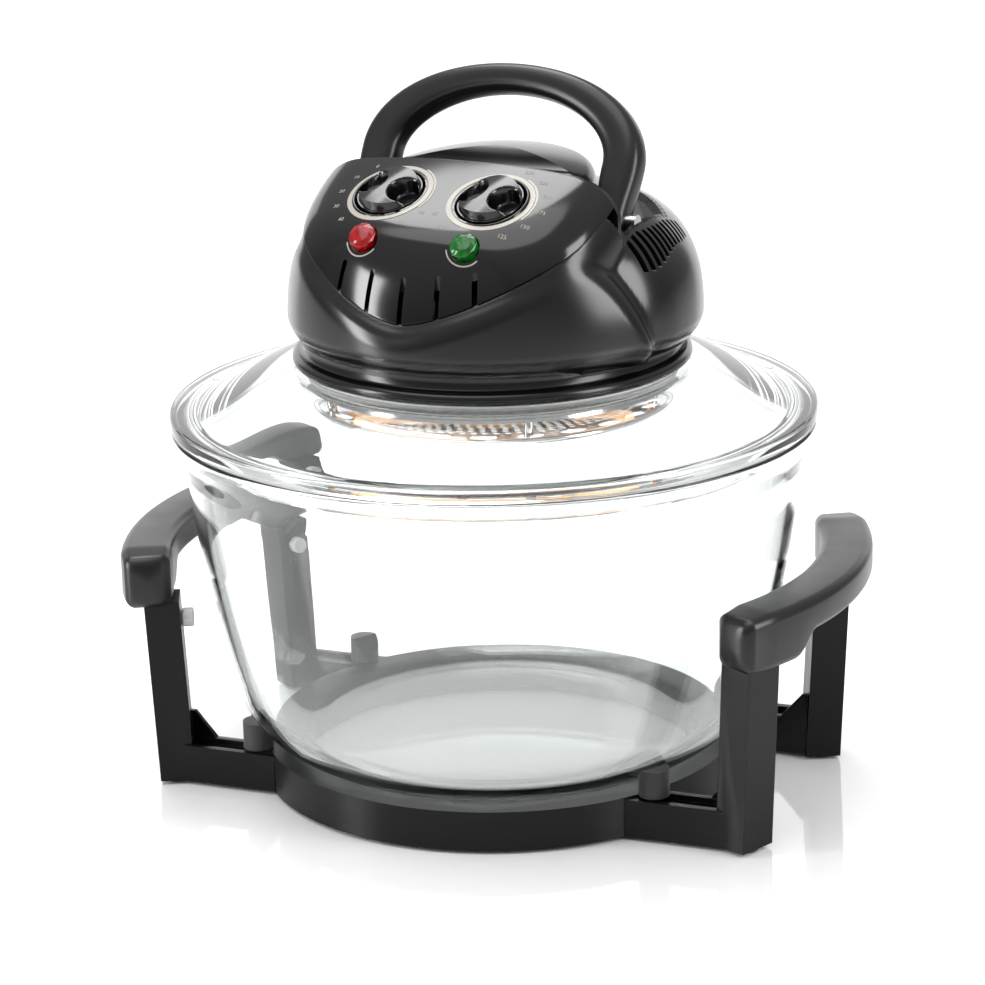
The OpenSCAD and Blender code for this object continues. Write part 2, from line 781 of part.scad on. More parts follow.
module power_inlet() {
    y0 = 86;
    color("#18181a") on_head() translate([0, y0, bulge_z + 13]) rotate([-90, 0, 0]) difference() {
        translate([-14.2, -10.7, 0]) cube([28.4, 21.4, 20]);
        translate([-12, -8, 5]) cube([24, 16, far]);
        for (x = [-7, 0, 7]) translate([x, 0, -eps]) cylinder(r = 1.5, h = 7, $fn = 24);
    }
}

module inlet_pins() {
    color("#c9b27a") on_head() translate([0, 80, bulge_z + 13]) rotate([-90, 0, 0])
        for (x = [-7, 0, 7]) translate([x, 0, 0]) cylinder(r = 1.45, h = 21, $fn = 24);
}

module terminal_block() {
    color("#e8e4d8") on_head() difference() {
        translate([-22, 52, chassis_top]) cube([44, 14, 14]);
        for (x = [-16 : 8 : 16]) translate([x, 59, chassis_top + 6]) cylinder(r = 2.2, h = far, $fn = 24);
    }
}

module safety_switch() {
    body_z = pocket_z - 15.5;
    color("#23415f") on_head() translate([handle_leg_x - 5, -12, body_z - 12]) cube([10, 24, 12]);
}

module switch_plunger() {
    tip_z = handle_pivot_z - cam_r - cam_gap - plunger_r;
    stem = tip_z - (pocket_z - 12);
    color("#e9e6dc") on_head() translate([handle_leg_x, 0, tip_z]) {
        sphere(r = plunger_r, $fn = 48);
        translate([0, 0, -stem]) cylinder(r = plunger_r, h = stem, $fn = 32);
        translate([0, 0, -stem]) cylinder(r = plunger_r + 1.6, h = 2, $fn = 32);
    }
}

module shell_screws() {
    color("#b8babd") on_head() at_shell_screws() translate([0, 0, -screw_head_h]) screw(chassis_top + 8);
}

module handle_pins() {
    color("#c5c7ca") on_head() for (s = [-1, 1]) translate([s * (pocket_in - 2), 0, handle_pivot_z])
        rotate([0, s * 90, 0]) cylinder(r = pin_r, h = handle_x - pocket_in + 6, $fn = 48);
}

// ---- Carry handle ----

// A half ellipse of half width a and height b on top of a straight stretch h.
function arch(a, b, h) = concat([[a, 0]], [for (t = [0 : 7.5 : 180]) [a * cos(t), h + b * sin(t)]], [[-a, 0]]);

// The cam under a leg: its radius grows steadily, so the plunger follows the handle.
function cam() = concat(
    [for (t = [0 : fold / 6 : fold]) let (a = t - 90 + handle_lean)
        (cam_r + cam_lift * t / fold) * [cos(a), sin(a)]],
    [for (t = [0 : 5]) let (a = fold - 90 + handle_lean + 12 + t * 12) (cam_r - 1.5) * [cos(a), sin(a)]],
    [[0, 0]]);

module carry_handle() {
    inner_x = handle_x - handle_t;
    color("#1d1d20") on_head() translate([0, 0, handle_pivot_z]) rotate([90 - handle_lean, 0, 0]) difference() {
        union() {
            translate([0, 0, -handle_d / 2]) linear_extrude(handle_d) difference() {
                polygon(arch(handle_x, handle_len - handle_side_h, handle_side_h));
                polygon(arch(inner_x, handle_len - handle_side_h - handle_t, handle_side_h));
                translate([-inner_x, -eps]) square([2 * inner_x, 2 * eps]);
            }
            for (s = [-1, 1]) translate([s * handle_leg_x, 0, 0]) rotate([0, 90, 0])
                cylinder(r = boss_r, h = handle_t, center = true, $fn = 64);
            translate([handle_leg_x - cam_w / 2, 0, 0]) rotate([0, 90, 0])
                linear_extrude(cam_w) polygon(cam());
        }
        rotate([0, 90, 0]) cylinder(r = pin_r + run_gap, h = far, center = true, $fn = 48);
    }
}

// ---- Knobs ----

// A knob with a raised bar across it and a blind bore for its spindle.
module knob(side) {
    bar_w = 8;
    color("#111113") on_head() at_knob(side) translate([0, 0, -well_d + 0.6]) difference() {
        union() {
            cylinder(r = knob_r, h = 5);
            intersection() {
                cylinder(r = knob_r - 1.2, h = 5 + knob_bar_h);
                translate([0, far / 2, 4 + knob_bar_h - knob_r]) rotate([90, 0, 0])
                    cylinder(r = knob_r + 1, h = far);
                translate([-bar_w / 2, -far / 2, 0]) cube([bar_w, far, far]);
            }
        }
        translate([0, 0, -eps]) cylinder(r = spindle_r + 0.02, h = 7 + eps, $fn = 48);
    }
}

module timer_knob() {
    knob(-1);
}

module thermostat_knob() {
    knob(1);
}

module spindle(side) {
    color("#c5c7ca") on_head() at_knob(side) translate([0, 0, -well_d + 7 - spindle_l])
        cylinder(r = spindle_r, h = spindle_l, $fn = 48);
}

module timer_shaft() {
    spindle(-1);
}

module thermostat_shaft() {
    spindle(1);
}

// ---- Rotor and fans ----

module drive_shaft() {
    bottom = guard_z + 8;
    color("#c5c7ca") on_head() translate([0, 0, bottom])
        cylinder(r = shaft_r, h = motor_top + bracket_t + 14 - bottom, $fn = 48);
}

module motor_rotor() {
    color("#8d9094") on_head() tube(rotor_r, shaft_r + 0.02, stator_h, stator_z);
}

// A hub with straight blades set at an angle.
module fan(blades, blade_r, hub_r, h, pitch) {
    difference() {
        union() {
            cylinder(r = hub_r, h = h);
            for (i = [0 : blades - 1]) rotate([0, 0, i * 360 / blades]) translate([hub_r - 1.5, 0, h / 2])
                rotate([pitch, 0, 0]) cube([blade_r - hub_r + 1.5, 1.2, h], center = false);
        }
        translate([0, 0, -far / 2]) cylinder(r = shaft_r + 0.02, h = far, $fn = 48);
        translate([-far, -far, -far]) cube([2 * far, 2 * far, far]);
        translate([-far, -far, h]) cube([2 * far, 2 * far, far]);
    }
}

module cooling_fan() {
    color("#c3c6ca") on_head() translate([0, 0, motor_top + bracket_t + 2]) fan(8, 31, 8, 8, 0);
}

module convection_fan() {
    color("#bfc2c6") on_head() translate([0, 0, -16]) fan(6, 46, 9, 12, 0);
}

module fan_nut() {
    color("#c5c7ca") on_head() translate([0, 0, -18]) difference() {
        cylinder(r = 5.5, h = 2, $fn = 6);
        translate([0, 0, -eps]) cylinder(r = shaft_r + 0.02, h = far, $fn = 48);
    }
}

stand_ring();
leg();  // leg_front_right
mirror([1, 0, 0]) leg();  // leg_front_left
mirror([0, 1, 0]) leg();  // leg_rear_right
mirror([1, 0, 0]) mirror([0, 1, 0]) leg();  // leg_rear_left
grip();  // grip_right
mirror([1, 0, 0]) grip();  // grip_left
bowl_bumpers();
bowl_pads();
stand_feet();
leg_screws();
grip_screws();
glass_bowl();
glass_lid();
lid_gasket();
collar_ring();
reflector();
heat_shield();
halogen_tube();
tube_end_caps();
tube_clips();
fan_guard();
guard_posts();
chassis_plate();
head_shell();
rear_crown();
control_panel();
scale_rings();
power_lens();
heat_lens();
neon_lamps();
timer_body();
thermostat_body();
motor_stator();
motor_coils();
motor_bracket_lower();
motor_bracket_upper();
motor_pillars();
shaft_bearings();
power_inlet();
inlet_pins();
terminal_block();
safety_switch();
switch_plunger();
shell_screws();
handle_pins();
carry_handle();
timer_knob();
timer_shaft();
thermostat_knob();
thermostat_shaft();
drive_shaft();
motor_rotor();
cooling_fan();
convection_fan();
fan_nut();
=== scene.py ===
"""Looks of a halogen air fryer: a glass bowl in a carrying stand, under a lid with the control head.

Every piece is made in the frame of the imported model: metres, +Z up, the front of the stand facing -Y.
Shapes are worked out in millimetres as whole numpy arrays and scaled once, when a mesh is made.
The head has a frame of its own, turned a little on the stand, with z measured from its collar.
"""

import logging
import math
from collections.abc import Callable, Iterable
from dataclasses import dataclass, field
from enum import IntEnum

import bmesh
import bpy
import numpy as np
from mathutils import Matrix, Vector


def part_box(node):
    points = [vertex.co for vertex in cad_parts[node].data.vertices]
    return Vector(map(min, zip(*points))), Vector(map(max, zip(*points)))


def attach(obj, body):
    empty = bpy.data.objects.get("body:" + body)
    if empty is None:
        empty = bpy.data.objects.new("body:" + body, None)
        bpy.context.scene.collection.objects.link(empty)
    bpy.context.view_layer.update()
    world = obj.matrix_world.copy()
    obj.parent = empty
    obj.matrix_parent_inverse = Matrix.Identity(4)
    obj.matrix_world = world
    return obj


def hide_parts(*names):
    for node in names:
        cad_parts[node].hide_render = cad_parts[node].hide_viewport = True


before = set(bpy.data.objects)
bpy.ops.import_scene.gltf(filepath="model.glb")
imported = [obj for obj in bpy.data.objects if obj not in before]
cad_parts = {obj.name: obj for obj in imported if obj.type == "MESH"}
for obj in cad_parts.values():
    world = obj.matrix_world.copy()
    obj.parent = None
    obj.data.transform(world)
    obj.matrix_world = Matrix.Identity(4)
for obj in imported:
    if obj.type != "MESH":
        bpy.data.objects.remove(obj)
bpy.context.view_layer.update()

MM = 0.001
HEAD_TURN = math.radians(-7)
HEAD_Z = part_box("collar_ring")[0].z / MM
GENERATED_COORDS, OBJECT_COORDS = 0, 3
HALVINGS = 34
log = logging.getLogger("air_fryer")

Rings = np.ndarray
Place = tuple[float, float]
Field = Callable[[np.ndarray], np.ndarray]
Value = "Sock | float | tuple[float, ...]"


class Side(IntEnum):
    """The two sides of the object, as the sign of x."""

    LEFT = -1
    RIGHT = 1

    @property
    def word(self) -> str:
        """The side's name as it stands in the names of pieces."""
        return self.name.lower()


# ---- Shader expressions ----


class Sock:
    """A shader value in a Python expression: each operator adds one Math node."""

    def __init__(self, tree: "Tree", socket: bpy.types.NodeSocket) -> None:
        """Wraps one output socket of a tree."""
        self.tree, self.socket = tree, socket

    def _math(self, operation: str, first: Value, second: Value) -> "Sock":
        """Adds a Math node of two inputs."""
        return self.tree.node("ShaderNodeMath", {"operation": operation}, {0: first, 1: second})

    def __add__(self, other: Value) -> "Sock":
        """self + other."""
        return self._math("ADD", self, other)

    __radd__ = __add__

    def __sub__(self, other: Value) -> "Sock":
        """self - other."""
        return self._math("SUBTRACT", self, other)

    def __rsub__(self, other: Value) -> "Sock":
        """other - self."""
        return self._math("SUBTRACT", other, self)

    def __mul__(self, other: Value) -> "Sock":
        """self * other."""
        return self._math("MULTIPLY", self, other)

    __rmul__ = __mul__


class Tree:
    """The node tree of a material or of the world."""

    def __init__(self, owner: bpy.types.ID, output: str) -> None:
        """Empties the owner's tree and adds its output node."""
        owner.use_nodes = True
        self.tree = owner.node_tree
        self.tree.nodes.clear()
        self.surface_input = self.tree.nodes.new(output).inputs["Surface"]

    def node(
        self, kind: str, settings: dict | None = None, inputs: dict | None = None, output: int = 0
    ) -> Sock:
        """Adds any node.

        Args:
            kind: The node's type.
            settings: Its properties; "stops" is a ramp's list of places and colours.
            inputs: Values or links of its sockets, by name or number.
            output: The number of the output that is returned.

        Returns:
            The chosen output.
        """
        made = self.tree.nodes.new(kind)
        for key, value in (settings or {}).items():
            if key == "stops":
                while len(made.color_ramp.elements) < len(value):
                    made.color_ramp.elements.new(0.5)
                for stop, (place, colour) in zip(made.color_ramp.elements, value):
                    stop.position, stop.color = place, colour
            else:
                setattr(made, key, value)
        for key, value in (inputs or {}).items():
            self.plug(made.inputs[key], value)
        return Sock(self, made.outputs[output])

    def plug(self, socket: bpy.types.NodeSocket, value: Value) -> None:
        """Links a Sock to a socket, or sets the socket's own value."""
        if isinstance(value, Sock):
            self.tree.links.new(value.socket, socket)
        else:
            socket.default_value = value


class Shade(Tree):
    """The node tree of one material, with its Principled shader."""

    def __init__(self, name: str) -> None:
        """Makes a material with a Principled shader joined to its output."""
        self.material = bpy.data.materials.new(name)
        super().__init__(self.material, "ShaderNodeOutputMaterial")
        self.shader = self.tree.nodes.new("ShaderNodeBsdfPrincipled")
        self.tree.links.new(self.shader.outputs[0], self.surface_input)

    def surface(self, **values: Value) -> None:
        """Sets inputs of the Principled shader; an underscore in a name stands for a space."""
        for key, value in values.items():
            self.plug(self.shader.inputs[key.replace("_", " ")], value)

    def place(self, stretch: tuple[float, float, float] = (1, 1, 1)) -> Sock:
        """The point on the piece in its own coordinates, stretched along each axis."""
        coords = self.node("ShaderNodeTexCoord", output=OBJECT_COORDS)
        return self.node("ShaderNodeMapping", {}, {"Vector": coords, "Scale": stretch})

    def noise(self, scale: float, detail: float = 3, stretch: tuple[float, float, float] = (1, 1, 1)) -> Sock:
        """Noise from 0 to 1 with features of about 1 / scale metres."""
        inputs = {"Vector": self.place(stretch), "Scale": scale, "Detail": detail}
        return self.node("ShaderNodeTexNoise", {}, inputs)

    def mix(self, amount: Value, first: Value, second: Value) -> Sock:
        """A colour between two colours."""
        return self.node("ShaderNodeMix", {"data_type": "RGBA"}, {0: amount, 6: first, 7: second}, 2)

    def bump(self, height: Sock, depth: float) -> Sock:
        """A normal bent by a height field whose full range is depth metres."""
        return self.node("ShaderNodeBump", {}, {"Height": height, "Distance": depth, "Strength": 1.0})


def rgb(red: float, green: float, blue: float) -> tuple[float, float, float, float]:
    """A linear colour with full alpha."""
    return (red, green, blue, 1.0)


@dataclass(frozen=True)
class Finish:
    """The finish of one material slot; each kind of finish builds its own shader."""

    slot: str

    def dress(self, shade: Shade) -> None:
        """Builds the shader."""
        raise NotImplementedError

    def material(self) -> bpy.types.Material:
        """The finish's material, made on first use."""
        name = f"{self.slot}_finish"
        found = bpy.data.materials.get(name)
        if found is None:
            shade = Shade(name)
            self.dress(shade)
            found = shade.material
        return found


@dataclass(frozen=True)
class Moulded(Finish):
    """Moulded plastic or rubber: a slight mottle, a fine grain and uneven gloss."""

    colour: tuple[float, ...]
    tone: tuple[float, ...]
    gloss: float = 0.3
    gloss_spread: float = 0.12
    grain: float = 900.0
    grain_depth: float = 0.00004
    coat: float = 0.0
    sheen: float = 0.0
    shine: float = 0.5

    def dress(self, shade: Shade) -> None:
        """Mixes two tones by a broad noise and roughens the gloss by a finer one."""
        broad = shade.noise(14.0, 4)
        fine = shade.noise(self.grain, 2)
        wear = shade.noise(60.0, 5)
        shade.surface(
            Base_Color=shade.mix(broad, self.colour, self.tone),
            Roughness=self.gloss + (wear - 0.5) * self.gloss_spread,
            Normal=shade.bump(fine, self.grain_depth),
            Coat_Weight=self.coat,
            Coat_Roughness=0.05,
            Sheen_Weight=self.sheen,
            Specular_IOR_Level=self.shine,
        )


@dataclass(frozen=True)
class Metallic(Finish):
    """Metal with a drawn or spun grain along one direction and faint stains."""

    colour: tuple[float, ...]
    tone: tuple[float, ...]
    gloss: float = 0.25
    grain: float = 500.0
    stretch: tuple[float, float, float] = (1, 1, 0.06)
    grain_depth: float = 0.00002

    def dress(self, shade: Shade) -> None:
        """Tints the metal by a broad noise and scratches it by a stretched one."""
        broad = shade.noise(22.0, 4)
        drawn = shade.noise(self.grain, 3, self.stretch)
        shade.surface(
            Base_Color=shade.mix(broad, self.colour, self.tone),
            Metallic=1.0,
            Roughness=self.gloss + (drawn - 0.5) * 0.16 + (broad - 0.5) * 0.06,
            Normal=shade.bump(drawn, self.grain_depth),
        )


@dataclass(frozen=True)
class Clear(Finish):
    """Clear glass with faint smears that dull its polish."""

    colour: tuple[float, ...] = rgb(0.975, 0.99, 0.985)
    tone: tuple[float, ...] = rgb(0.965, 0.985, 0.98)
    gloss: float = 0.0
    index: float = 1.47
    glow: tuple[float, ...] = rgb(0, 0, 0)
    glow_strength: float = 0.0

    def dress(self, shade: Shade) -> None:
        """A transmitting surface whose roughness follows a broad smear."""
        smear = shade.noise(9.0, 5, (1, 1, 2.2))
        stops = [(0.55, rgb(0, 0, 0)), (0.8, rgb(1, 1, 1))]
        smudge = shade.node("ShaderNodeValToRGB", {"stops": stops}, {0: smear})
        shade.surface(
            Base_Color=shade.mix(smear, self.colour, self.tone),
            Roughness=self.gloss + smudge * 0.025,
            Transmission_Weight=1.0,
            IOR=self.index,
            Emission_Color=self.glow,
            Emission_Strength=self.glow_strength,
        )


@dataclass(frozen=True)
class Jewel(Finish):
    """A moulded lamp lens: deeply coloured, with a prism pattern and a soft glow."""

    colour: tuple[float, ...]
    tone: tuple[float, ...]
    glow_strength: float = 0.12

    def dress(self, shade: Shade) -> None:
        """Cells of a Voronoi pattern tint the lens and bend its normal."""
        cells = shade.node("ShaderNodeTexVoronoi", {}, {"Vector": shade.place(), "Scale": 300.0})
        tint = shade.mix(cells, self.colour, self.tone)
        shade.surface(
            Base_Color=tint,
            Roughness=0.08 + cells * 0.1,
            Normal=shade.bump(cells, 0.0002),
            Specular_IOR_Level=0.35,
            Coat_Weight=0.15,
            Coat_Roughness=0.1,
            Emission_Color=tint,
            Emission_Strength=self.glow_strength,
        )


@dataclass(frozen=True)
class Banded(Finish):
    """Something made of many layers or turns, such as stacked sheets or wound wire."""

    colour: tuple[float, ...]
    tone: tuple[float, ...]
    pitch: float
    metallic: float = 1.0
    gloss: float = 0.35

    def dress(self, shade: Shade) -> None:
        """Bands across z, one for each layer or turn."""
        bands = shade.node(
            "ShaderNodeTexWave",
            {"wave_type": "BANDS", "bands_direction": "Z"},
            {"Vector": shade.place(), "Scale": 0.314 / self.pitch, "Distortion": 0.6, "Detail": 1.0},
            1,
        )
        shade.surface(
            Base_Color=shade.mix(bands, self.tone, self.colour),
            Metallic=self.metallic,
            Roughness=self.gloss + bands * 0.12,
            Normal=shade.bump(bands, self.pitch * 0.3),
        )


def moulded(slot: str, level: float, gloss: float, **more: float) -> Moulded:
    """Black or grey plastic of one level of lightness, very slightly cool."""
    colour, tone = rgb(level, level, level * 1.06), rgb(level * 1.35, level * 1.35, level * 1.45)
    return Moulded(slot, colour, tone, gloss, **more)


def metal(slot: str, level: float, gloss: float, warm: float = 1.0, **more: object) -> Metallic:
    """A near-neutral metal of one level of lightness."""
    colour = (level, level, level * warm)
    return Metallic(slot, rgb(*colour), rgb(*(0.8 * part for part in colour)), gloss, **more)


FINISHES = {
    finish.slot: finish
    for finish in (
        moulded("stand_plastic", 0.0032, 0.3, grain_depth=0.00001, shine=0.22),
        moulded("grip_plastic", 0.004, 0.32, grain_depth=0.00001, shine=0.45),
        moulded("shell_plastic", 0.0025, 0.2, gloss_spread=0.04, grain=500.0, grain_depth=0.000002),
        moulded("collar_plastic", 0.003, 0.2, gloss_spread=0.05, grain_depth=0.000002, shine=0.4),
        moulded("panel_gloss", 0.0015, 0.13, gloss_spread=0.04, grain=300.0, grain_depth=0.000001),
        moulded("knob_plastic", 0.0015, 0.17, gloss_spread=0.05, grain_depth=0.000002, shine=0.6),
        moulded("handle_plastic", 0.0035, 0.3, gloss_spread=0.06, grain_depth=0.000004, shine=0.45),
        moulded("inlet_plastic", 0.012, 0.4),
        Moulded("white_silicone", rgb(0.86, 0.86, 0.83), rgb(0.78, 0.78, 0.76), 0.45, sheen=0.2),
        moulded("black_rubber", 0.02, 0.6, sheen=0.3),
        Moulded("mica_board", rgb(0.58, 0.52, 0.4), rgb(0.42, 0.36, 0.26), 0.5, 0.3, 160.0, 0.00008),
        Moulded("ceramic", rgb(0.86, 0.84, 0.78), rgb(0.78, 0.75, 0.68), 0.42, grain=300.0),
        Moulded("movement_plastic", rgb(0.7, 0.67, 0.58), rgb(0.6, 0.57, 0.5), 0.4),
        Moulded("switch_plastic", rgb(0.03, 0.06, 0.12), rgb(0.04, 0.08, 0.16), 0.4),
        Moulded("silver_print", rgb(0.42, 0.39, 0.33), rgb(0.3, 0.28, 0.24), 0.3, 0.1, 1200.0, 0.00001),
        metal("zinc_steel", 0.62, 0.35),
        metal("polished_aluminium", 0.86, 0.14, grain=260.0, stretch=(1, 1, 0.3)),
        metal("spring_steel", 0.6, 0.3),
        metal("chromed_steel", 0.78, 0.1, grain=300.0, grain_depth=0.000008),
        metal("bearing_bronze", 0.5, 0.32, warm=0.45),
        metal("brass_pins", 0.72, 0.25, warm=0.42),
        Banded("lamination_steel", rgb(0.42, 0.42, 0.43), rgb(0.2, 0.2, 0.21), 0.0012),
        Banded("copper_winding", rgb(0.62, 0.24, 0.1), rgb(0.3, 0.1, 0.04), 0.0009),
        Clear("bowl_glass"),
        Clear("lid_glass"),
        Clear("quartz_tube", rgb(1, 0.9, 0.75), rgb(1, 0.85, 0.65), 0.1, 1.45, rgb(1, 0.5, 0.2), 0.45),
        Clear("neon_glass", rgb(0.95, 0.9, 0.85), rgb(0.9, 0.85, 0.8), 0.05),
        Jewel("red_lens", rgb(0.38, 0.001, 0.002), rgb(0.1, 0.0, 0.001)),
        Jewel("green_lens", rgb(0.001, 0.13, 0.006), rgb(0.0, 0.035, 0.002)),
    )
}


# ---- Meshes from arrays ----


def grid_faces(rows: int, cols: int, wrap_rows: bool = False, wrap_cols: bool = True) -> np.ndarray:
    """Quads between neighbouring rows and columns of points that are stored row by row.

    Args:
        rows: How many rows of points there are.
        cols: How many points a row has.
        wrap_rows: Whether the last row joins the first.
        wrap_cols: Whether a row's last point joins its first.

    Returns:
        Four corner numbers for each quad.
    """
    row = np.arange(rows if wrap_rows else rows - 1)[:, None]
    col = np.arange(cols if wrap_cols else cols - 1)[None, :]
    next_row, next_col = (row + 1) % rows, (col + 1) % cols
    corners = (row * cols + col, row * cols + next_col, next_row * cols + next_col, next_row * cols + col)
    return np.stack(np.broadcast_arrays(*corners), -1).reshape(-1, 4)


def bezier(start: tuple, leave: tuple, arrive: tuple, end: tuple, steps: int = 10) -> np.ndarray:
    """Points of a cubic curve in equal steps of its parameter.

    Args:
        start: The first point.
        leave: The point that the curve leaves towards.
        arrive: The point that it arrives from.
        end: The last point.
        steps: How many steps it has.

    Returns:
        The points, one more than the steps.
    """
    t = np.linspace(0, 1, steps + 1)[:, None]
    points = [np.asarray(p, float) for p in (start, leave, arrive, end)]
    weights = ((1 - t) ** 3, 3 * (1 - t) ** 2 * t, 3 * (1 - t) * t**2, t**3)
    return sum(w * p for w, p in zip(weights, points))


def arc(centre: tuple, radius: float, start: float, end: float, steps: int = 8) -> np.ndarray:
    """Points of an arc between two angles in degrees."""
    a = np.radians(np.linspace(start, end, steps + 1))
    return np.asarray(centre, float) + radius * np.stack([np.cos(a), np.sin(a)], -1)


def joined(*parts: Iterable) -> np.ndarray:
    """One outline from several stretches of points."""
    return np.concatenate([np.atleast_2d(np.asarray(part, float)) for part in parts])


def heading(degrees: float) -> np.ndarray:
    """The unit vector at an angle from the first axis."""
    return np.array([math.cos(math.radians(degrees)), math.sin(math.radians(degrees))])


def whole_turn(count: int) -> np.ndarray:
    """Angles of a whole turn in equal steps."""
    return np.linspace(0, 2 * np.pi, count, endpoint=False)


def polar(r: np.ndarray | float, a: np.ndarray, z: np.ndarray | float) -> np.ndarray:
    """Points at radius r, angle a and height z."""
    return np.stack(np.broadcast_arrays(r * np.cos(a), r * np.sin(a), z), -1)


def revolve(profile: np.ndarray, segments: int) -> Rings:
    """Each point (r, z) of the profile carried round the z axis."""
    return polar(profile[:, :1], whole_turn(segments), profile[:, 1:])


def smooth_max(a: np.ndarray, b: np.ndarray, blend: float) -> np.ndarray:
    """The larger of two fields, rounded where they are within blend of each other."""
    near = np.clip(blend - np.abs(a - b), 0, None) / blend
    return np.maximum(a, b) + near**2 * blend / 4


def smooth_min(a: np.ndarray, b: np.ndarray, blend: float) -> np.ndarray:
    """The smaller of two fields, rounded where they are within blend of each other."""
    return -smooth_max(-a, -b, blend)


def smooth_step(x: np.ndarray, low: float, high: float) -> np.ndarray:
    """0 below low, 1 above high and a smooth rise between."""
    t = np.clip((x - low) / (high - low), 0, 1)
    return t * t * (3 - 2 * t)


def cast(shape: Field, origin: np.ndarray, directions: np.ndarray, near: float, far: float) -> np.ndarray:
    """Where rays leave a shape whose field is negative inside, found by halving the span.

    Args:
        shape: The field.
        origin: Where the rays start, inside the shape.
        directions: The direction of each ray.
        near: A distance that is still inside.
        far: A distance that is outside.

    Returns:
        A point on the surface for each ray.
    """
    low = np.full(directions.shape[:-1], near)
    high = np.full(directions.shape[:-1], far)
    for _ in range(HALVINGS):
        middle = (low + high) / 2
        inside = shape(origin + middle[..., None] * directions) < 0
        low, high = np.where(inside, middle, low), np.where(inside, high, middle)
    return origin + high[..., None] * directions


def on_head(points: np.ndarray) -> np.ndarray:
    """Points of the head's own frame in the frame of the whole object."""
    c, s = math.cos(HEAD_TURN), math.sin(HEAD_TURN)
    turn = np.array([[c, -s, 0], [s, c, 0], [0, 0, 1]])
    return points @ turn.T + np.array([0, 0, HEAD_Z])


def shown(name: str, data: bpy.types.ID) -> bpy.types.Object:
    """A new object of a mesh, light, camera or curve, linked to the scene."""
    made = bpy.data.objects.new(name, data)
    bpy.context.scene.collection.objects.link(made)
    return made


def raw_object(name: str, points: np.ndarray, faces: np.ndarray) -> bpy.types.Object:
    """A mesh object from points in millimetres, merged, with its faces pointing outwards."""
    mesh = bpy.data.meshes.new(name)
    mesh.from_pydata((points.reshape(-1, 3) * MM).tolist(), [], faces.tolist())
    settle(mesh)
    return shown(name, mesh)


def settle(mesh: bpy.types.Mesh) -> None:
    """Merges doubles, drops empty faces and points the rest outwards."""
    work = bmesh.new()
    work.from_mesh(mesh)
    bmesh.ops.remove_doubles(work, verts=work.verts, dist=2e-6)
    bmesh.ops.dissolve_degenerate(work, edges=work.edges, dist=1e-6)
    bmesh.ops.recalc_face_normals(work, faces=work.faces)
    work.to_mesh(mesh)
    work.free()


def from_rings(name: str, rings: Rings, wrap_rows: bool = False, wrap_cols: bool = True) -> bpy.types.Object:
    """An object from a grid of points, rows by columns."""
    rows, cols = rings.shape[:2]
    return raw_object(name, rings, grid_faces(rows, cols, wrap_rows, wrap_cols))


def capped(rings: Rings) -> Rings:
    """The rings with both ends closed to their middles."""
    return np.concatenate([
        np.broadcast_to(rings[:1].mean(1, keepdims=True), rings[:1].shape), rings,
        np.broadcast_to(rings[-1:].mean(1, keepdims=True), rings[-1:].shape),
    ])


def evaluated(obj: bpy.types.Object) -> bpy.types.Mesh:
    """A new mesh of the object as its modifiers or its text make it."""
    return bpy.data.meshes.new_from_object(obj.evaluated_get(bpy.context.evaluated_depsgraph_get()))


def bake(obj: bpy.types.Object) -> None:
    """Applies the object's modifiers to its mesh."""
    mesh = evaluated(obj)
    obj.modifiers.clear()
    obj.data = mesh


def modify(obj: bpy.types.Object, kind: str, **settings: object) -> None:
    """Adds a modifier with its settings."""
    modifier = obj.modifiers.new(kind.lower(), kind)
    for key, value in settings.items():
        setattr(modifier, key, value)


def carve(obj: bpy.types.Object, cutter: bpy.types.Object, operation: str = "DIFFERENCE") -> None:
    """Cuts one closed mesh by another and removes the cutter.

    Args:
        obj: The mesh that is cut.
        cutter: The mesh that cuts it.
        operation: The kind of Boolean.
    """
    modify(obj, "BOOLEAN", operation=operation, solver="EXACT", object=cutter)
    bake(obj)
    bpy.data.objects.remove(cutter)


def merge(name: str, objects: list[bpy.types.Object]) -> bpy.types.Object:
    """One object from the meshes of several, which are removed."""
    work = bmesh.new()
    for obj in objects:
        work.from_mesh(obj.data)
        bpy.data.objects.remove(obj)
    mesh = bpy.data.meshes.new(name)
    work.to_mesh(mesh)
    work.free()
    return shown(name, mesh)


def put(rings: Rings, place: np.ndarray) -> Rings:
    """Rings of a placing matrix's own frame, put in their place."""
    return rings @ place[:3, :3].T + place[:3, 3]


def block(outline: np.ndarray, place: np.ndarray, depth: tuple[float, float]) -> Rings:
    """A closed prism: an outline of two coordinates, extruded along the third axis of a placing matrix."""
    ends = [np.column_stack([outline, np.full(len(outline), d)]) for d in depth]
    return put(capped(np.stack(ends)), place)


def mirrored(outline: np.ndarray, place: np.ndarray, near: float, far: float) -> list[Rings]:
    """Two prisms of one outline, from near to far on both sides of the placing matrix."""
    return [block(outline, place, (near, far)), block(outline, place, (-far, -near))]


def many(name: str, parts: list[Rings]) -> bpy.types.Object:
    """One object on the head from several closed sets of rings."""
    return merge(name, [from_rings(f"{name}_part", on_head(part)) for part in parts])


def placing(at: tuple, x_axis: tuple, y_axis: tuple) -> np.ndarray:
    """A placing matrix from an origin and two axes; the third is their cross product.

    Args:
        at: The origin.
        x_axis: The first axis.
        y_axis: The second axis.

    Returns:
        The matrix, four by four.
    """
    matrix = np.eye(4)
    x, y = np.asarray(x_axis, float), np.asarray(y_axis, float)
    matrix[:3, 0], matrix[:3, 1], matrix[:3, 2], matrix[:3, 3] = x, y, np.cross(x, y), at
    return matrix


ACROSS = placing((0, 0, 0), (0, 1, 0), (0, 0, 1))
ALONG = placing((0, 0, 0), (1, 0, 0), (0, 0, 1))


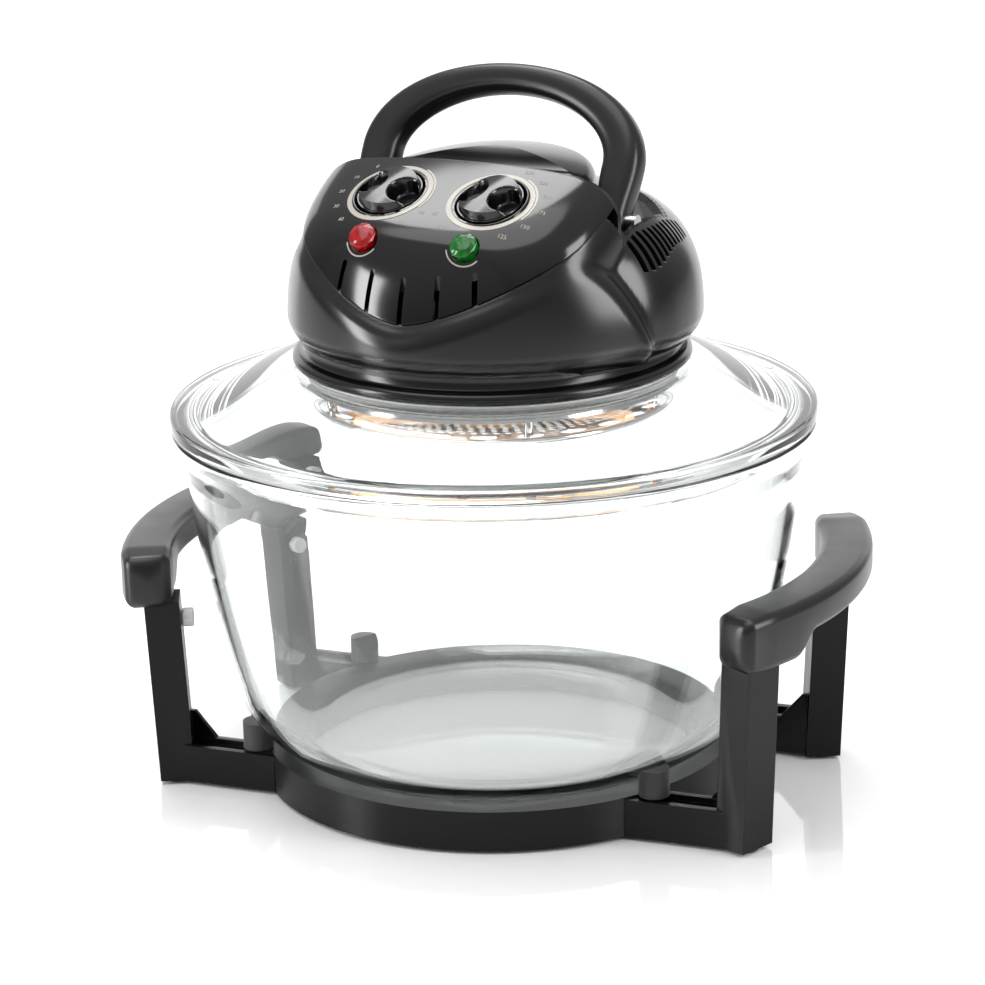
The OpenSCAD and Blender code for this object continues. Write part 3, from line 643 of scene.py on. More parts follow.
def finish_piece(obj: bpy.types.Object, body: str, slot: str, *nodes: str, crease: float = 35.0) -> None:
    """Shades a piece, dresses it in a slot's finish and joins it to its body.

    Args:
        obj: The piece, in place.
        body: The body that it rides on.
        slot: The material slot that it takes its finish from.
        nodes: The CAD nodes that it stands for.
        crease: The least angle in degrees at which an edge looks sharp.
    """
    obj.data.materials.clear()
    obj.data.materials.append(FINISHES[slot].material())
    obj.data.shade_smooth()
    obj.data.set_sharp_from_angle(angle=math.radians(crease))
    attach(obj, body)
    if nodes:
        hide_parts(*nodes)
    log.info("%s: %d faces on %s", obj.name, len(obj.data.polygons), body)


def softened(node: str, body: str, width: float, slot: str) -> None:
    """A merged copy of a CAD node with its edges rounded, which stands for the node.

    Args:
        node: The node's name.
        body: The body that it rides on.
        width: How far the rounding reaches.
        slot: Its material slot.
    """
    work = bmesh.new()
    work.from_mesh(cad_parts[node].data)
    bmesh.ops.remove_doubles(work, verts=work.verts, dist=1e-5)
    bmesh.ops.dissolve_limit(work, angle_limit=math.radians(1.5), verts=work.verts, edges=work.edges)
    mesh = bpy.data.meshes.new(f"{node}_moulding")
    work.to_mesh(mesh)
    work.free()
    made = shown(f"{node}_moulding", mesh)
    finish_piece(made, body, slot, node, crease=50)
    modify(made, "BEVEL", width=width * MM, segments=3, limit_method="ANGLE", angle_limit=math.radians(40),
           harden_normals=True)


# ---- Stage ----


@dataclass
class Studio:
    """A pale floor, soft lights and the camera."""

    azimuth: float = 21.33
    elevation: float = 16.83
    roll: float = -1.2
    distance: float = 1.834
    aim_side: float = -0.00156
    aim_height: float = 0.1526
    focal_length: float = 127.9
    sensor: float = 36.0
    floor_half: float = 9.0
    sun_power: float = 1.35
    sun_spread: float = 50.0
    sun_turn: tuple[float, float] = (8.0, -10.0)

    def camera(self) -> None:
        """Places the camera at its azimuth and elevation round the aim point, with a slight roll."""
        az, el, roll = (math.radians(a) for a in (self.azimuth, self.elevation, self.roll))
        back = Vector((math.sin(az) * math.cos(el), -math.cos(az) * math.cos(el), math.sin(el)))
        right = Vector((math.cos(az), math.sin(az), 0))
        up = back.cross(right)
        side = right * math.cos(roll) + up * math.sin(roll)
        top = back.cross(side)
        data = bpy.data.cameras.new("camera")
        data.lens, data.sensor_width = self.focal_length, self.sensor
        data.clip_end = 50
        obj = shown("camera", data)
        aim = right * self.aim_side + Vector((0, 0, self.aim_height))
        turn = Matrix((side, top, back)).transposed().to_4x4()
        obj.matrix_world = Matrix.Translation(aim + back * self.distance) @ turn
        bpy.context.scene.camera = obj

    def soft_light(self, name: str, place: tuple, size: tuple[float, float], power: float) -> None:
        """An area light that faces the head of the object.

        Args:
            name: The light's name.
            place: Where it stands, in metres.
            size: Its width and height in metres.
            power: Its power in watts.
        """
        data = bpy.data.lights.new(name, "AREA")
        data.shape, data.size, data.size_y, data.energy = "RECTANGLE", size[0], size[1], power
        obj = shown(name, data)
        obj.location = place
        obj.rotation_euler = (Vector((0, 0, 0.2)) - Vector(place)).to_track_quat("-Z", "Y").to_euler()

    def overhead(self) -> None:
        """A broad light from above that reaches the whole floor evenly."""
        data = bpy.data.lights.new("overhead", "SUN")
        data.energy, data.angle = self.sun_power, math.radians(self.sun_spread)
        side, lean = (math.radians(a) for a in self.sun_turn)
        shown("overhead", data).rotation_euler = (side, lean, 0)

    def floor(self) -> None:
        """A wide pale floor with a soft polish."""
        h = self.floor_half / MM
        corners = np.array([[-h, -h, 0], [h, -h, 0], [h, h, 0], [-h, h, 0]], float)
        obj = raw_object("floor", corners, np.array([[0, 1, 2, 3]]))
        shade = Shade("floor_paint")
        soft = shade.noise(3.0, 3)
        shade.surface(Base_Color=shade.mix(soft, rgb(0.9, 0.9, 0.9), rgb(0.92, 0.92, 0.92)),
                      Roughness=0.05 + soft * 0.03, IOR=1.6)
        obj.data.materials.append(shade.material)

    def world(self) -> None:
        """An even pale surround, a little darker towards the horizon."""
        world = bpy.data.worlds.new("surround")
        bpy.context.scene.world = world
        tree = Tree(world, "ShaderNodeOutputWorld")
        coords = tree.node("ShaderNodeTexCoord", output=GENERATED_COORDS)
        height = tree.node("ShaderNodeSeparateXYZ", {}, {0: coords}, 2)
        stops = [(0.0, rgb(0.28, 0.28, 0.29)), (0.85, rgb(0.75, 0.75, 0.76))]
        ramp = tree.node("ShaderNodeValToRGB", {"stops": stops}, {0: height})
        tree.plug(tree.surface_input, tree.node("ShaderNodeBackground", {}, {"Color": ramp, "Strength": 1.0}))

    def build(self) -> None:
        """Sets the whole stage."""
        bpy.context.scene.view_settings.view_transform = "Standard"
        self.camera()
        self.floor()
        self.world()
        self.overhead()
        self.soft_light("back_wall", (-1.45, 3.7, 0.9), (6.0, 1.8), 42)
        self.soft_light("back_box", (-0.62, 0.72, 2.0), (0.95, 0.75), 15)
        self.soft_light("left_strip", (-1.25, -1.0, 0.5), (0.34, 0.9), 15)
        self.soft_light("right_box", (1.5, -0.25, 0.75), (0.5, 1.1), 15)


# ---- Stand, bowl and lid ----


@dataclass
class Stand:
    """The base ring, four legs, two grips, and the soft bits that hold the bowl."""

    grip_top: float = 131.0
    grip_end: float = 29.0
    grip_mid: float = 18.0
    grip_out: float = 197.0
    grip_wide: float = 27.0
    grip_half_az: float = 30.5
    corner: float = 5.0
    round_off: float = 4.0
    taper_az: float = 5.0
    taper: float = 2.0
    rise_az: tuple[float, float] = (10.5, 15.5)

    def grip(self, side: Side) -> None:
        """A rounded bar along an arc: its underside rises from each end to the middle.

        The section at angle a spans the grip's width and runs from z_low(a) to the top,
        with round corners; the first and last sections shrink to round the ends.
        """
        a = np.linspace(-self.grip_half_az, self.grip_half_az, 72)
        end_gap = self.grip_half_az - np.abs(a)
        short = np.clip(self.round_off - np.radians(end_gap) * self.grip_out, 0, self.round_off)
        shrink = self.round_off - np.sqrt(np.clip(self.round_off**2 - short**2, 0, None))
        depth = self.grip_mid + (self.grip_end - self.grip_mid) * (1 - smooth_step(end_gap, *self.rise_az))
        taper = np.clip(1 - end_gap / self.taper_az, 0, 1) * self.taper
        half = self.grip_wide / 2 - shrink - taper
        low, high = self.grip_top - depth + shrink, self.grip_top - shrink - taper
        corner = np.minimum(self.corner, np.minimum(half, (high - low) / 2) - 0.2)
        turn = np.radians(np.linspace(0, 360, 32, endpoint=False) + 5.6)
        cos_t, sin_t = np.cos(turn), np.sin(turn)
        across = np.sign(cos_t) * (half - corner)[:, None] + corner[:, None] * cos_t
        centre = np.where(sin_t > 0, (high - corner)[:, None], (low + corner)[:, None])
        radius = self.grip_out - self.grip_wide / 2 + across
        rings = polar(radius, np.radians(a)[:, None], centre + corner[:, None] * sin_t) * [side, 1, 1]
        obj = from_rings(f"grip_{side.word}_moulding", capped(rings))
        finish_piece(obj, "stand", "grip_plastic", f"grip_{side.word}", crease=60)

    def build(self) -> None:
        """Makes every piece of the stand."""
        softened("stand_ring", "stand", 1.2, "stand_plastic")
        for end in ("front", "rear"):
            for side in (Side.RIGHT, Side.LEFT):
                softened(f"leg_{end}_{side.word}", "stand", 1.5, "stand_plastic")
        for side in (Side.RIGHT, Side.LEFT):
            self.grip(side)
        softened("bowl_bumpers", "stand", 1.4, "white_silicone")


@dataclass
class Bowl:
    """The glass bowl: a wall of even thickness under a flared, rolled rim."""

    rim_r: float = 167.5
    rim_z: float = 196.0
    side_r: float = 160.5
    base_r: float = 92.0
    base_z: float = 20.0
    corner_r: float = 50.0
    glass: float = 5.0
    corner_tilt: float = 15.0
    lip_h: float = 24.0

    def side(self, inset: float) -> np.ndarray:
        """The bowl's side from its flat to its lip, moved inwards."""
        centre = np.array([self.base_r, self.base_z + self.corner_r])
        tilt = math.radians(self.corner_tilt)
        low = centre + (self.corner_r - inset) * np.array([math.cos(tilt), -math.sin(tilt)])
        top = np.array([self.side_r - inset, self.rim_z - self.lip_h])
        reach = (top[1] - low[1]) / 3
        up = np.array([math.sin(tilt), math.cos(tilt)])
        bend = bezier(low, low + reach * up, top - reach * np.array([0.1, 1]), top, 16)
        return joined(arc(centre, self.corner_r - inset, -90, -self.corner_tilt, 16)[:-1], bend)

    def lip(self, inset: float) -> np.ndarray:
        """The flare from the side to the rim."""
        return bezier((self.side_r - inset, self.rim_z - self.lip_h),
                      (self.side_r + 1 - inset, self.rim_z - self.lip_h * 0.7),
                      (self.rim_r - 1 - inset, self.rim_z - self.lip_h * 0.4),
                      (self.rim_r - inset, self.rim_z - 5), 8)[1:]

    def build(self) -> None:
        """Revolves the outer side, the rolled rim and the inner side."""
        profile = joined(
            (0, self.base_z), self.side(0), self.lip(0),
            arc((self.rim_r - 2.5, self.rim_z - 2.5), 2.5, 0, 90, 6),
            arc((self.rim_r - self.glass + 1.5, self.rim_z - 1.5), 1.5, 90, 180, 4),
            self.lip(self.glass)[::-1], self.side(self.glass)[::-1], (0, self.base_z + self.glass))
        obj = from_rings("glass_bowl_blown", revolve(profile, 160))
        finish_piece(obj, "bowl", "bowl_glass", "glass_bowl", crease=80)


@dataclass
class Lid:
    """The domed glass lid with its thick rolled rim."""

    rim_r: float = 167.5
    seat_z: float = 196.3
    rim_t: float = 7.7
    rise: float = 21.5
    glass: float = 5.0
    hole_r: float = 96.0
    skirt_in: float = 8.7
    land_w: float = 8.0

    def build(self) -> None:
        """Revolves the lid's profile: dome, rim, locating skirt and underside."""
        rim_z, land_r = self.seat_z + self.rim_t, self.hole_r + self.land_w
        land_z, skirt = rim_z + self.rise, self.rim_r - self.skirt_in
        slope = (land_r + 20, land_z - 2)
        top_r = self.rim_r - 8
        under = (land_r + 20, land_z - self.glass - 2)
        outside = bezier((land_r, land_z), slope, (top_r - 16, rim_z + 5), (top_r, rim_z), 20)
        inside = bezier((land_r, land_z - self.glass), under, (skirt - 24, rim_z),
                        (skirt - 5.6, self.seat_z - 2), 20)
        profile = joined(
            (self.hole_r, land_z - 1), (self.hole_r + 1, land_z), outside,
            arc((self.rim_r - 1.5, rim_z - 2), 2, 90, 0, 6),
            arc((self.rim_r - 1, self.seat_z + 1.5), 1.5, 0, -90, 5),
            (skirt + 2, self.seat_z), (skirt, self.seat_z - 1.5), (skirt - 1, self.seat_z - 8),
            arc((skirt - 3.2, self.seat_z - 8), 2.2, 0, -180, 8),
            inside[::-1], (self.hole_r, land_z - self.glass))
        obj = from_rings("glass_lid_blown", revolve(profile, 160), wrap_rows=True)
        finish_piece(obj, "lid", "lid_glass", "glass_lid", crease=80)


@dataclass
class FanGuard:
    """The bright pierced plate under the heater, with a rolled rim."""

    radius: float = 90.0
    low_z: float = -27.0
    thick: float = 1.2
    pitch: float = 5.8
    hole: float = 1.85
    dish: float = 2.5
    hub_r: float = 16.0
    round_r: float = 76.0
    cell_points: int = 16

    def ring(self, middle: float, half: float, hole: float, slot: float) -> tuple[np.ndarray, np.ndarray]:
        """One closed ring of square cells, each with a round or long hole.

        Args:
            middle: The ring's mean radius.
            half: Half of its width.
            hole: Half of a hole's width along the radius.
            slot: Half of a hole's length round the ring.

        Returns:
            Points on the head and faces: for each cell, loops of its outline and its hole, above and below.
        """
        n = self.cell_points
        count = int(2 * math.pi * middle / (2 * half if slot == hole else 2.9 * half))
        t = np.radians(np.arange(n) * (360 / n))
        cos_t, sin_t = np.cos(t), np.sin(t)
        square = np.maximum(np.abs(cos_t), np.abs(sin_t))
        step = 2 * math.pi / count
        edge = (middle + half * cos_t / square, step / 2 * sin_t / square)
        inner = (middle + hole * cos_t, slot * sin_t / middle)
        turn = (np.arange(count) * step)[:, None]
        loops = []
        for (r, a), level in ((edge, 1), (inner, 1), (inner, 0), (edge, 0)):
            z = self.low_z + self.thick * level - self.dish * (1 - (r / self.radius) ** 2)
            loops.append(polar(r, turn + a, z))
        points = on_head(np.stack(loops, 1).reshape(-1, 3))
        cell = grid_faces(4, n, wrap_rows=True)
        on_side = np.abs(np.abs(cos_t / square) - 1) < 1e-6
        keep = np.concatenate([np.ones(3 * n, bool), on_side & np.roll(on_side, -1)])
        faces = cell[keep][None] + (np.arange(count) * 4 * n)[:, None, None]
        return points, faces.reshape(-1, 4)

    def build(self) -> None:
        """Puts rings of cells between a plain hub and the rim; the outermost ring has long holes."""
        half = self.pitch / 2
        middles = np.arange(self.hub_r + half, self.round_r, self.pitch)
        last = middles[-1] + half
        outer, wide = (last + self.radius) / 2, (self.radius - last) / 2
        rings = [(middle, half, self.hole, self.hole) for middle in middles]
        rings.append((outer, wide, wide * 0.55, wide * 0.95))
        parts = [raw_object("guard_ring", *self.ring(*sizes)) for sizes in rings]
        hub_z = self.low_z - self.dish * (1 - (self.hub_r / self.radius) ** 2)
        top_z = hub_z + self.thick
        hub = joined((0, hub_z), (self.hub_r, hub_z), (self.hub_r, top_z), (0, top_z))
        rim = arc((self.radius + 1.5, self.low_z + 0.6), 2.0, 0, 360, 16)
        parts += [from_rings("guard_hub", on_head(revolve(hub, 64))),
                  from_rings("guard_rim", on_head(revolve(rim, 160)), wrap_rows=True)]
        finish_piece(merge("fan_guard_plate", parts), "lid", "chromed_steel", "fan_guard")


# ---- Head ----


@dataclass
class HeadForm:
    """The outside of the control head as fields that are negative inside.

    Lengths are in the head's frame: z from the collar's underside, the panel facing -y.
    """

    foot_z: float = 11.5
    foot_r: float = 99.0
    dome_r: float = 107.0
    dome_y: float = 6.0
    bulge_z: float = 24.0
    dome_top: float = 86.0
    apron_r: float = 105.6
    console_r: float = 103.0
    console_y: float = 4.0
    ear_x: float = 88.0
    back_y: float = -24.0
    seam_low: float = 37.4
    seam_rise: float = 112.0
    seam_power: float = 1.32
    seam_soft: float = 0.04
    ear_blend: float = 18.0
    edge_blend: float = 26.0
    crowning: float = 8.0
    crowning_x: float = 86.0
    crowning_power: float = 2.6
    valley: float = 0.14
    valley_az: Place = (44.0, 88.0)
    dome_powers: tuple[float, float, float] = (4.2, 2.4, 3.3)
    dome_scale: float = 90.0
    apron_peak: float = 71.0
    apron_fall: float = 48.0
    apron_az: float = 49.0
    apron_span: float = 24.0
    seat_az: float = 66.0
    knob_at: Place = (-52.0, 94.0)
    knob_tilt: float = 26.0
    lamp_at: Place = (-81.0, 77.5)
    lamp_tilt: float = 47.0
    side_outline: np.ndarray = field(init=False)

    def __post_init__(self) -> None:
        """Works out the side outline of the panel's face: up the front, over the lamps and the knobs."""
        lamp, lamp_dir = np.array(self.lamp_at), heading(self.lamp_tilt)
        knob, knob_dir = np.array(self.knob_at), heading(self.knob_tilt)
        foot, top = np.array([-106.0, 42.0]), np.array([self.back_y, 106.5])
        self.side_outline = joined(
            bezier(foot, foot + (1, 12), lamp - 12 * lamp_dir, lamp, 60)[:-1],
            bezier(lamp, lamp + 8 * lamp_dir, knob - 10 * knob_dir, knob, 60)[:-1],
            bezier(knob, knob + 9 * knob_dir, top - 8 * np.array([0.93, 0.37]), top, 60))

    def angle_from_front(self, p: np.ndarray) -> np.ndarray:
        """Degrees round the console's axis from the front, the same to both sides."""
        return np.degrees(np.arctan2(np.abs(p[..., 0]), self.console_y - p[..., 1]))

    def seam(self, angle: np.ndarray) -> np.ndarray:
        """Height of the panel's lower edge: a soft V that rises from the front to the ears."""
        half = np.hypot(np.sin(np.radians(np.clip(angle, 0, 80)) / 2), self.seam_soft)
        return self.seam_low + self.seam_rise * half**self.seam_power

    def wall(self, p: np.ndarray) -> np.ndarray:
        """The console's upright outside: a round front with clipped ears."""
        round_front = np.hypot(p[..., 0], p[..., 1] - self.console_y) - self.console_r
        return smooth_max(round_front, np.abs(p[..., 0]) - self.ear_x, self.ear_blend)

    def face(self, p: np.ndarray) -> np.ndarray:
        """Distance above the panel's face, which falls away to the sides."""
        y, z = self.side_outline.T
        slope = np.interp(p[..., 1], y, np.gradient(z, y))
        fall = self.crowning * np.abs(p[..., 0] / self.crowning_x) ** self.crowning_power
        return (p[..., 2] - (np.interp(p[..., 1], y, z) - fall)) / np.sqrt(1 + slope**2)

    def console(self, p: np.ndarray) -> np.ndarray:
        """The outside of the control panel."""
        return smooth_max(self.wall(p), self.face(p), self.edge_blend)

    def foot(self, z: np.ndarray, radius: float) -> np.ndarray:
        """The radius near the foot, where the wall curls in below the bulge."""
        curl = np.clip((self.bulge_z - z) / (self.bulge_z - self.foot_z), 0, 1.4)
        return radius - (self.dome_r - self.foot_r) * curl**2

    def dome(self, p: np.ndarray) -> np.ndarray:
        """The rear dome, which draws in towards the front and leaves a valley beside the apron."""
        shrink = 1 - self.valley + self.valley * smooth_step(self.angle_from_front(p), *self.valley_az)
        rho, z = np.hypot(p[..., 0], p[..., 1] - self.dome_y), p[..., 2]
        radius = self.foot(z, self.dome_r) * shrink
        high = np.clip(z - self.bulge_z, 0, None) / (self.dome_top - self.bulge_z + 2)
        out, up, both = self.dome_powers
        return ((np.clip(rho / radius, 0, None) ** out + high**up) ** (1 / both) - 1) * self.dome_scale

    def apron(self, p: np.ndarray) -> np.ndarray:
        """The wall under the panel: its top follows the seam, peaks beside the ears and falls to the foot."""
        angle = self.angle_from_front(p)
        rho, z = np.hypot(p[..., 0], p[..., 1] - self.console_y), p[..., 2]
        past = np.clip(angle - self.apron_az, 0, None) / self.apron_span
        falling = self.apron_peak - self.apron_fall * past**2
        top = smooth_min(self.seam(angle) - 1.4, falling, 8.0)
        draw = 0.0014 + 0.0022 * smooth_step(angle, 30, 80)
        side = self.foot(z, self.apron_r + 1.2) - draw * np.clip(z - 15, 0, None) ** 2
        return smooth_max(rho - side, z - top, 13.0)

    def seat(self, p: np.ndarray) -> np.ndarray:
        """The block under the panel that carries its lower edge, and slopes away behind the ears."""
        angle = self.angle_from_front(p)
        behind = np.clip(angle - self.seat_az, 0, None)
        top = self.seam(np.minimum(angle, self.seat_az)) - 0.9 - behind**1.6 * 0.55
        return smooth_max(self.console(p) + 0.6, p[..., 2] - top, 1.2)

    def shell(self, p: np.ndarray) -> np.ndarray:
        """The outside of the head's shell: dome, apron and seat run together."""
        body = smooth_min(self.dome(p), self.apron(p), 22.0)
        return smooth_min(body, self.seat(p), 1.6)


@dataclass
class Head:
    """The black shell, the crown behind the panel, the collar and the glossy panel with its controls."""

    form: HeadForm = field(default_factory=HeadForm)
    wall: float = 3.0
    tray_wall: float = 2.2
    knob_x: float = 28.5
    knob_r: float = 17.2
    well_r: float = 18.0
    well_d: float = 5.5
    lens_r: float = 7.3
    scale_r: float = 22.5
    pocket_in: float = 57.0
    pocket_out: float = 83.0
    pocket_z: float = 63.0
    pocket_half: float = 13.5
    pocket_back: float = 50.0
    pocket_top: float = 140.0
    pivot_z: float = 77.0
    collar_r: float = 103.5
    collar_h: float = 6.5
    crown_r: float = 57.6
    crown_y: float = -7.0
    crown_middle: float = 18.0
    crown_corner: float = 9.0
    crown_foot: float = 78.0
    crown_top: float = 107.0
    crown_ball: float = 180.0
    crown_soft: float = 5.0
    bulkhead_half: float = 84.5
    bulkhead_low: float = 66.0
    louvres: int = 12
    louvre_x: float = 86.2
    louvre_half: float = 1.5
    slots: int = 5
    slot_half: float = 1.4
    slot_lean: float = 11.2
    label_r: Place = (28.6, 28.0)
    label_size: float = 3.4

    def knob_place(self, side: Side) -> np.ndarray:
        """The placing matrix of a knob: z points out of the panel's face, y up along it."""
        up = (0, *heading(self.form.knob_tilt))
        return placing((side * self.knob_x, *self.form.knob_at), (1, 0, 0), up)

    def lamp_place(self, side: Side) -> np.ndarray:
        """The placing matrix of a lamp."""
        up = (0, *heading(self.form.lamp_tilt))
        return placing((side * self.knob_x, *self.form.lamp_at), (1, 0, 0), up)

    def pocket(self, grow: float) -> list[Rings]:
        """The channels that the handle's legs lie in, grown at the sides and below."""
        low, rise, top = self.pocket_z - grow, self.pivot_z - 7.5 - grow, self.pocket_top
        side, back = self.pocket_half + grow, self.pocket_back + grow
        outline = joined((-side, low), (side, low), (side, rise),
                         (back, rise + 12), (back, top), (-side, top))
        return mirrored(outline, ACROSS, self.pocket_in - grow, self.pocket_out + grow)

    def louvre_cutters(self) -> list[Rings]:
        """Upright slots with round ends, side by side on both shoulders; the front ones reach lowest."""
        top, half = self.form.dome_top - 13, self.louvre_half
        cutters = []
        for i, y in enumerate(np.linspace(-17, 38, self.louvres)):
            low = 57 + 7 * smooth_step(np.array(float(i)), 0, 7)
            outline = joined(arc((y, top), half, 0, 180, 6), arc((y, low), half, 180, 360, 6))
            cutters += mirrored(outline, ACROSS, self.louvre_x, 125)
        return cutters

    def shell(self) -> None:
        """The shell: rays from a point under the head meet its outside; then it is walled and pierced."""
        origin = np.array([0.0, 0.0, -20.0])
        low = math.degrees(math.atan2(self.form.foot_z - origin[2], self.form.foot_r))
        t = np.linspace(0, 1, 104)
        elevation = np.radians(low + (90 - low) * (t * 0.8 + 0.2 * t**2))[:, None]
        directions = polar(np.cos(elevation), whole_turn(300), np.sin(elevation))
        outside = cast(self.form.shell, origin, directions, 20, 190)
        outside[0, :, 2] = self.form.foot_z
        closed = np.concatenate([outside[:1] * [0, 0, 1], outside])
        trays = from_rings("shell_block", on_head(closed))
        skin = from_rings("head_shell_moulding", on_head(outside))
        modify(skin, "SOLIDIFY", thickness=self.wall * MM, offset=-1.0)
        bake(skin)
        carve(trays, many("tray_cutter", self.pocket(self.tray_wall)), "INTERSECT")
        carve(trays, many("tray_hollow", self.pocket(0)))
        inlet = block(joined((-14.5, 26), (14.5, 26), (14.5, 48), (-14.5, 48)), ALONG, (-140, -80))
        carve(skin, many("pocket_cutter", [*self.pocket(0), inlet]))
        carve(skin, many("louvre_cutter", self.louvre_cutters()))
        shell = merge("head_shell_moulding_whole", [skin, trays, self.bulkhead()])
        finish_piece(shell, "lid", "shell_plastic", "head_shell")

    def back_edge(self, x: np.ndarray) -> np.ndarray:
        """Height of the panel's face along its back edge, found by halving."""
        p = np.stack([x, np.full_like(x, self.form.back_y), np.full_like(x, 60.0)], -1)
        return cast(self.form.console, p, np.broadcast_to([0.0, 0.0, 1.0], p.shape), 0, 70)[..., 2]

    def bulkhead(self) -> bpy.types.Object:
        """The upright wall behind the panel; its top follows the panel's back edge."""
        half, low, y0 = self.bulkhead_half, self.bulkhead_low, self.form.back_y
        x = np.linspace(-half, half, 90)
        top = np.stack([x, self.back_edge(x) - 0.8], -1)
        outline = joined(top[::-1], (-half, low), (half, low))
        return many("bulkhead", [block(outline, ALONG, (-(y0 + 4.0), -(y0 + 0.6)))])

    def collar(self) -> None:
        """The round-edged flange under the head and the narrow neck above it."""
        neck, inner = self.collar_r - 6.5, self.collar_r - 17.5
        edge, top = self.collar_h / 2, self.form.foot_z
        profile = joined(
            (inner, 0), arc((self.collar_r - edge, edge), edge, -90, 90, 14),
            (neck + 1.2, self.collar_h), (neck, self.collar_h + 1.2), (neck, top), (inner, top))
        obj = from_rings("collar_moulding", on_head(revolve(profile, 192)), wrap_rows=True)
        finish_piece(obj, "lid", "collar_plastic", "collar_ring", crease=50)

    def crown(self) -> None:
        """The raised block behind the panel: a half disc outline, rounded at its edge and domed on top.

        Rows of the outline, drawn in and lifted along a quarter round, then shrunk to the middle;
        the top is a shallow ball.
        """
        radius, y0, corner, soft = self.crown_r, self.crown_y, self.crown_corner, self.crown_soft
        turn = np.radians(np.linspace(8, 172, 70))
        outline = joined(
            np.stack([radius * np.cos(turn), y0 + radius * np.sin(turn)], -1),
            arc((-radius + corner + 0.6, y0 + corner), corner, 178, 270, 8),
            arc((radius - corner - 0.6, y0 + corner), corner, -90, 2, 8))
        middle = np.array([0, self.crown_middle])
        step = np.roll(outline, -1, 0) - np.roll(outline, 1, 0)
        normal = np.stack([step[:, 1], -step[:, 0]], -1)
        normal /= np.linalg.norm(normal, axis=1)[:, None]
        a = np.radians(np.linspace(0, 90, 9))
        inset = np.concatenate([[0], soft * (1 - np.cos(a))])
        drop = np.concatenate([[40], soft * (1 - np.sin(a))])
        rim = outline[None] - inset[:, None, None] * normal[None]
        shares = np.linspace(1, 0, 18)[1:, None, None]
        flat = np.concatenate([rim, middle + (rim[-1:] - middle) * shares])
        dome = self.crown_top - (flat[..., 0] ** 2 + (flat[..., 1] - 14) ** 2) / (2 * self.crown_ball)
        z = dome - np.concatenate([drop, np.zeros(17)])[:, None]
        z[0] = self.crown_foot
        rings = np.concatenate([flat, z[..., None]], -1)
        rings = np.concatenate([rings[:1] * [0, 0, 1] + [0, self.crown_middle, 0], rings])
        obj = from_rings("crown_moulding", on_head(rings))
        finish_piece(obj, "lid", "shell_plastic", "rear_crown")

    def panel_surface(self) -> np.ndarray:
        """The panel's outside: rays from a point on its back edge, from the seam up to the top."""
        origin = np.array([0.0, self.form.back_y, 20.0])
        beta = np.linspace(-np.pi, 0, 240)[None, :]
        edge = cast(self.form.wall, origin, polar(1.0, beta, 0.0), 10, 140)
        seam = self.form.seam(self.form.angle_from_front(edge)) + 0.2
        low = np.arctan2(seam - origin[2], np.linalg.norm((edge - origin)[..., :2], axis=-1))
        t = np.linspace(0, 1, 96)[:, None]
        elevation = low + (np.pi / 2 - low) * t
        directions = polar(np.cos(elevation), beta, np.sin(elevation))
        return cast(self.form.console, origin, directions, 10, 160)

    def panel(self) -> None:
        """The glossy panel: walled, rounded at its edge, then pierced for knobs, lamps and vents."""
        panel = from_rings("panel_moulding", on_head(self.panel_surface()), wrap_cols=False)
        modify(panel, "SOLIDIFY", thickness=self.wall * MM, offset=-1.0)
        modify(panel, "BEVEL", width=0.7 * MM, segments=3, limit_method="ANGLE", angle_limit=math.radians(50))
        bake(panel)
        circle = arc((0, 0), 1, 0, 360, 72)[:-1]
        knobs = [self.knob_place(side) for side in Side]
        holes = [block(circle * (self.well_r + 0.4), place, (-14, 20)) for place in knobs]
        holes += [block(circle * (self.lens_r + 0.4), self.lamp_place(side), (-9, 12)) for side in Side]
        carve(panel, many("round_cutter", holes))
        half, slots = self.slot_half, []
        for i in range(self.slots):
            lean = i - (self.slots - 1) / 2
            a = math.radians(lean * self.slot_lean)
            top = 61 + 2.2 * abs(lean)
            outline = joined(arc((0, top - half), half, 0, 180, 6), (-half, 30), (half, 30))
            place = placing((0, self.form.console_y, 0), (-math.cos(a), -math.sin(a), 0), (0, 0, 1))
            slots.append(block(outline, place, (-118, -94)))
        carve(panel, many("slot_cutter", slots))
        wells = many("wells", [self.well(k) for k in knobs])
        whole = merge("control_panel_moulding", [panel, wells])
        finish_piece(whole, "lid", "panel_gloss", "control_panel")

    def well(self, place: np.ndarray) -> Rings:
        """A dished cup that a knob turns in, with a rounded lip flush with the face."""
        r, d = self.well_r, self.well_d
        profile = joined((3.05, -d - 2), (r + 2, -d - 2), (r + 2, -1.2), arc((r + 1.0, -1.0), 0.9, 0, 180, 6),
                         (r + 0.1, -d + 0.8), (r - 0.7, -d), (3.05, -d))
        return put(revolve(np.concatenate([profile, profile[:1]]), 96), place)

    def on_face(self, place: np.ndarray, u: np.ndarray, v: np.ndarray, lift: float) -> np.ndarray:
        """Points of a knob's or lamp's plane dropped on to the panel's face and lifted off it.

        Args:
            place: The placing matrix of a knob or a lamp.
            u: Distances across the plane.
            v: Distances up the plane.
            lift: How far off the face they end.

        Returns:
            The points in the head's frame.
        """
        start = place[:3, 3] + u[..., None] * place[:3, 0] + v[..., None] * place[:3, 1]
        out = np.broadcast_to(place[:3, 2], start.shape)
        hit = cast(self.form.console, start - 15 * out, out, 0, 40)
        return hit + lift * out

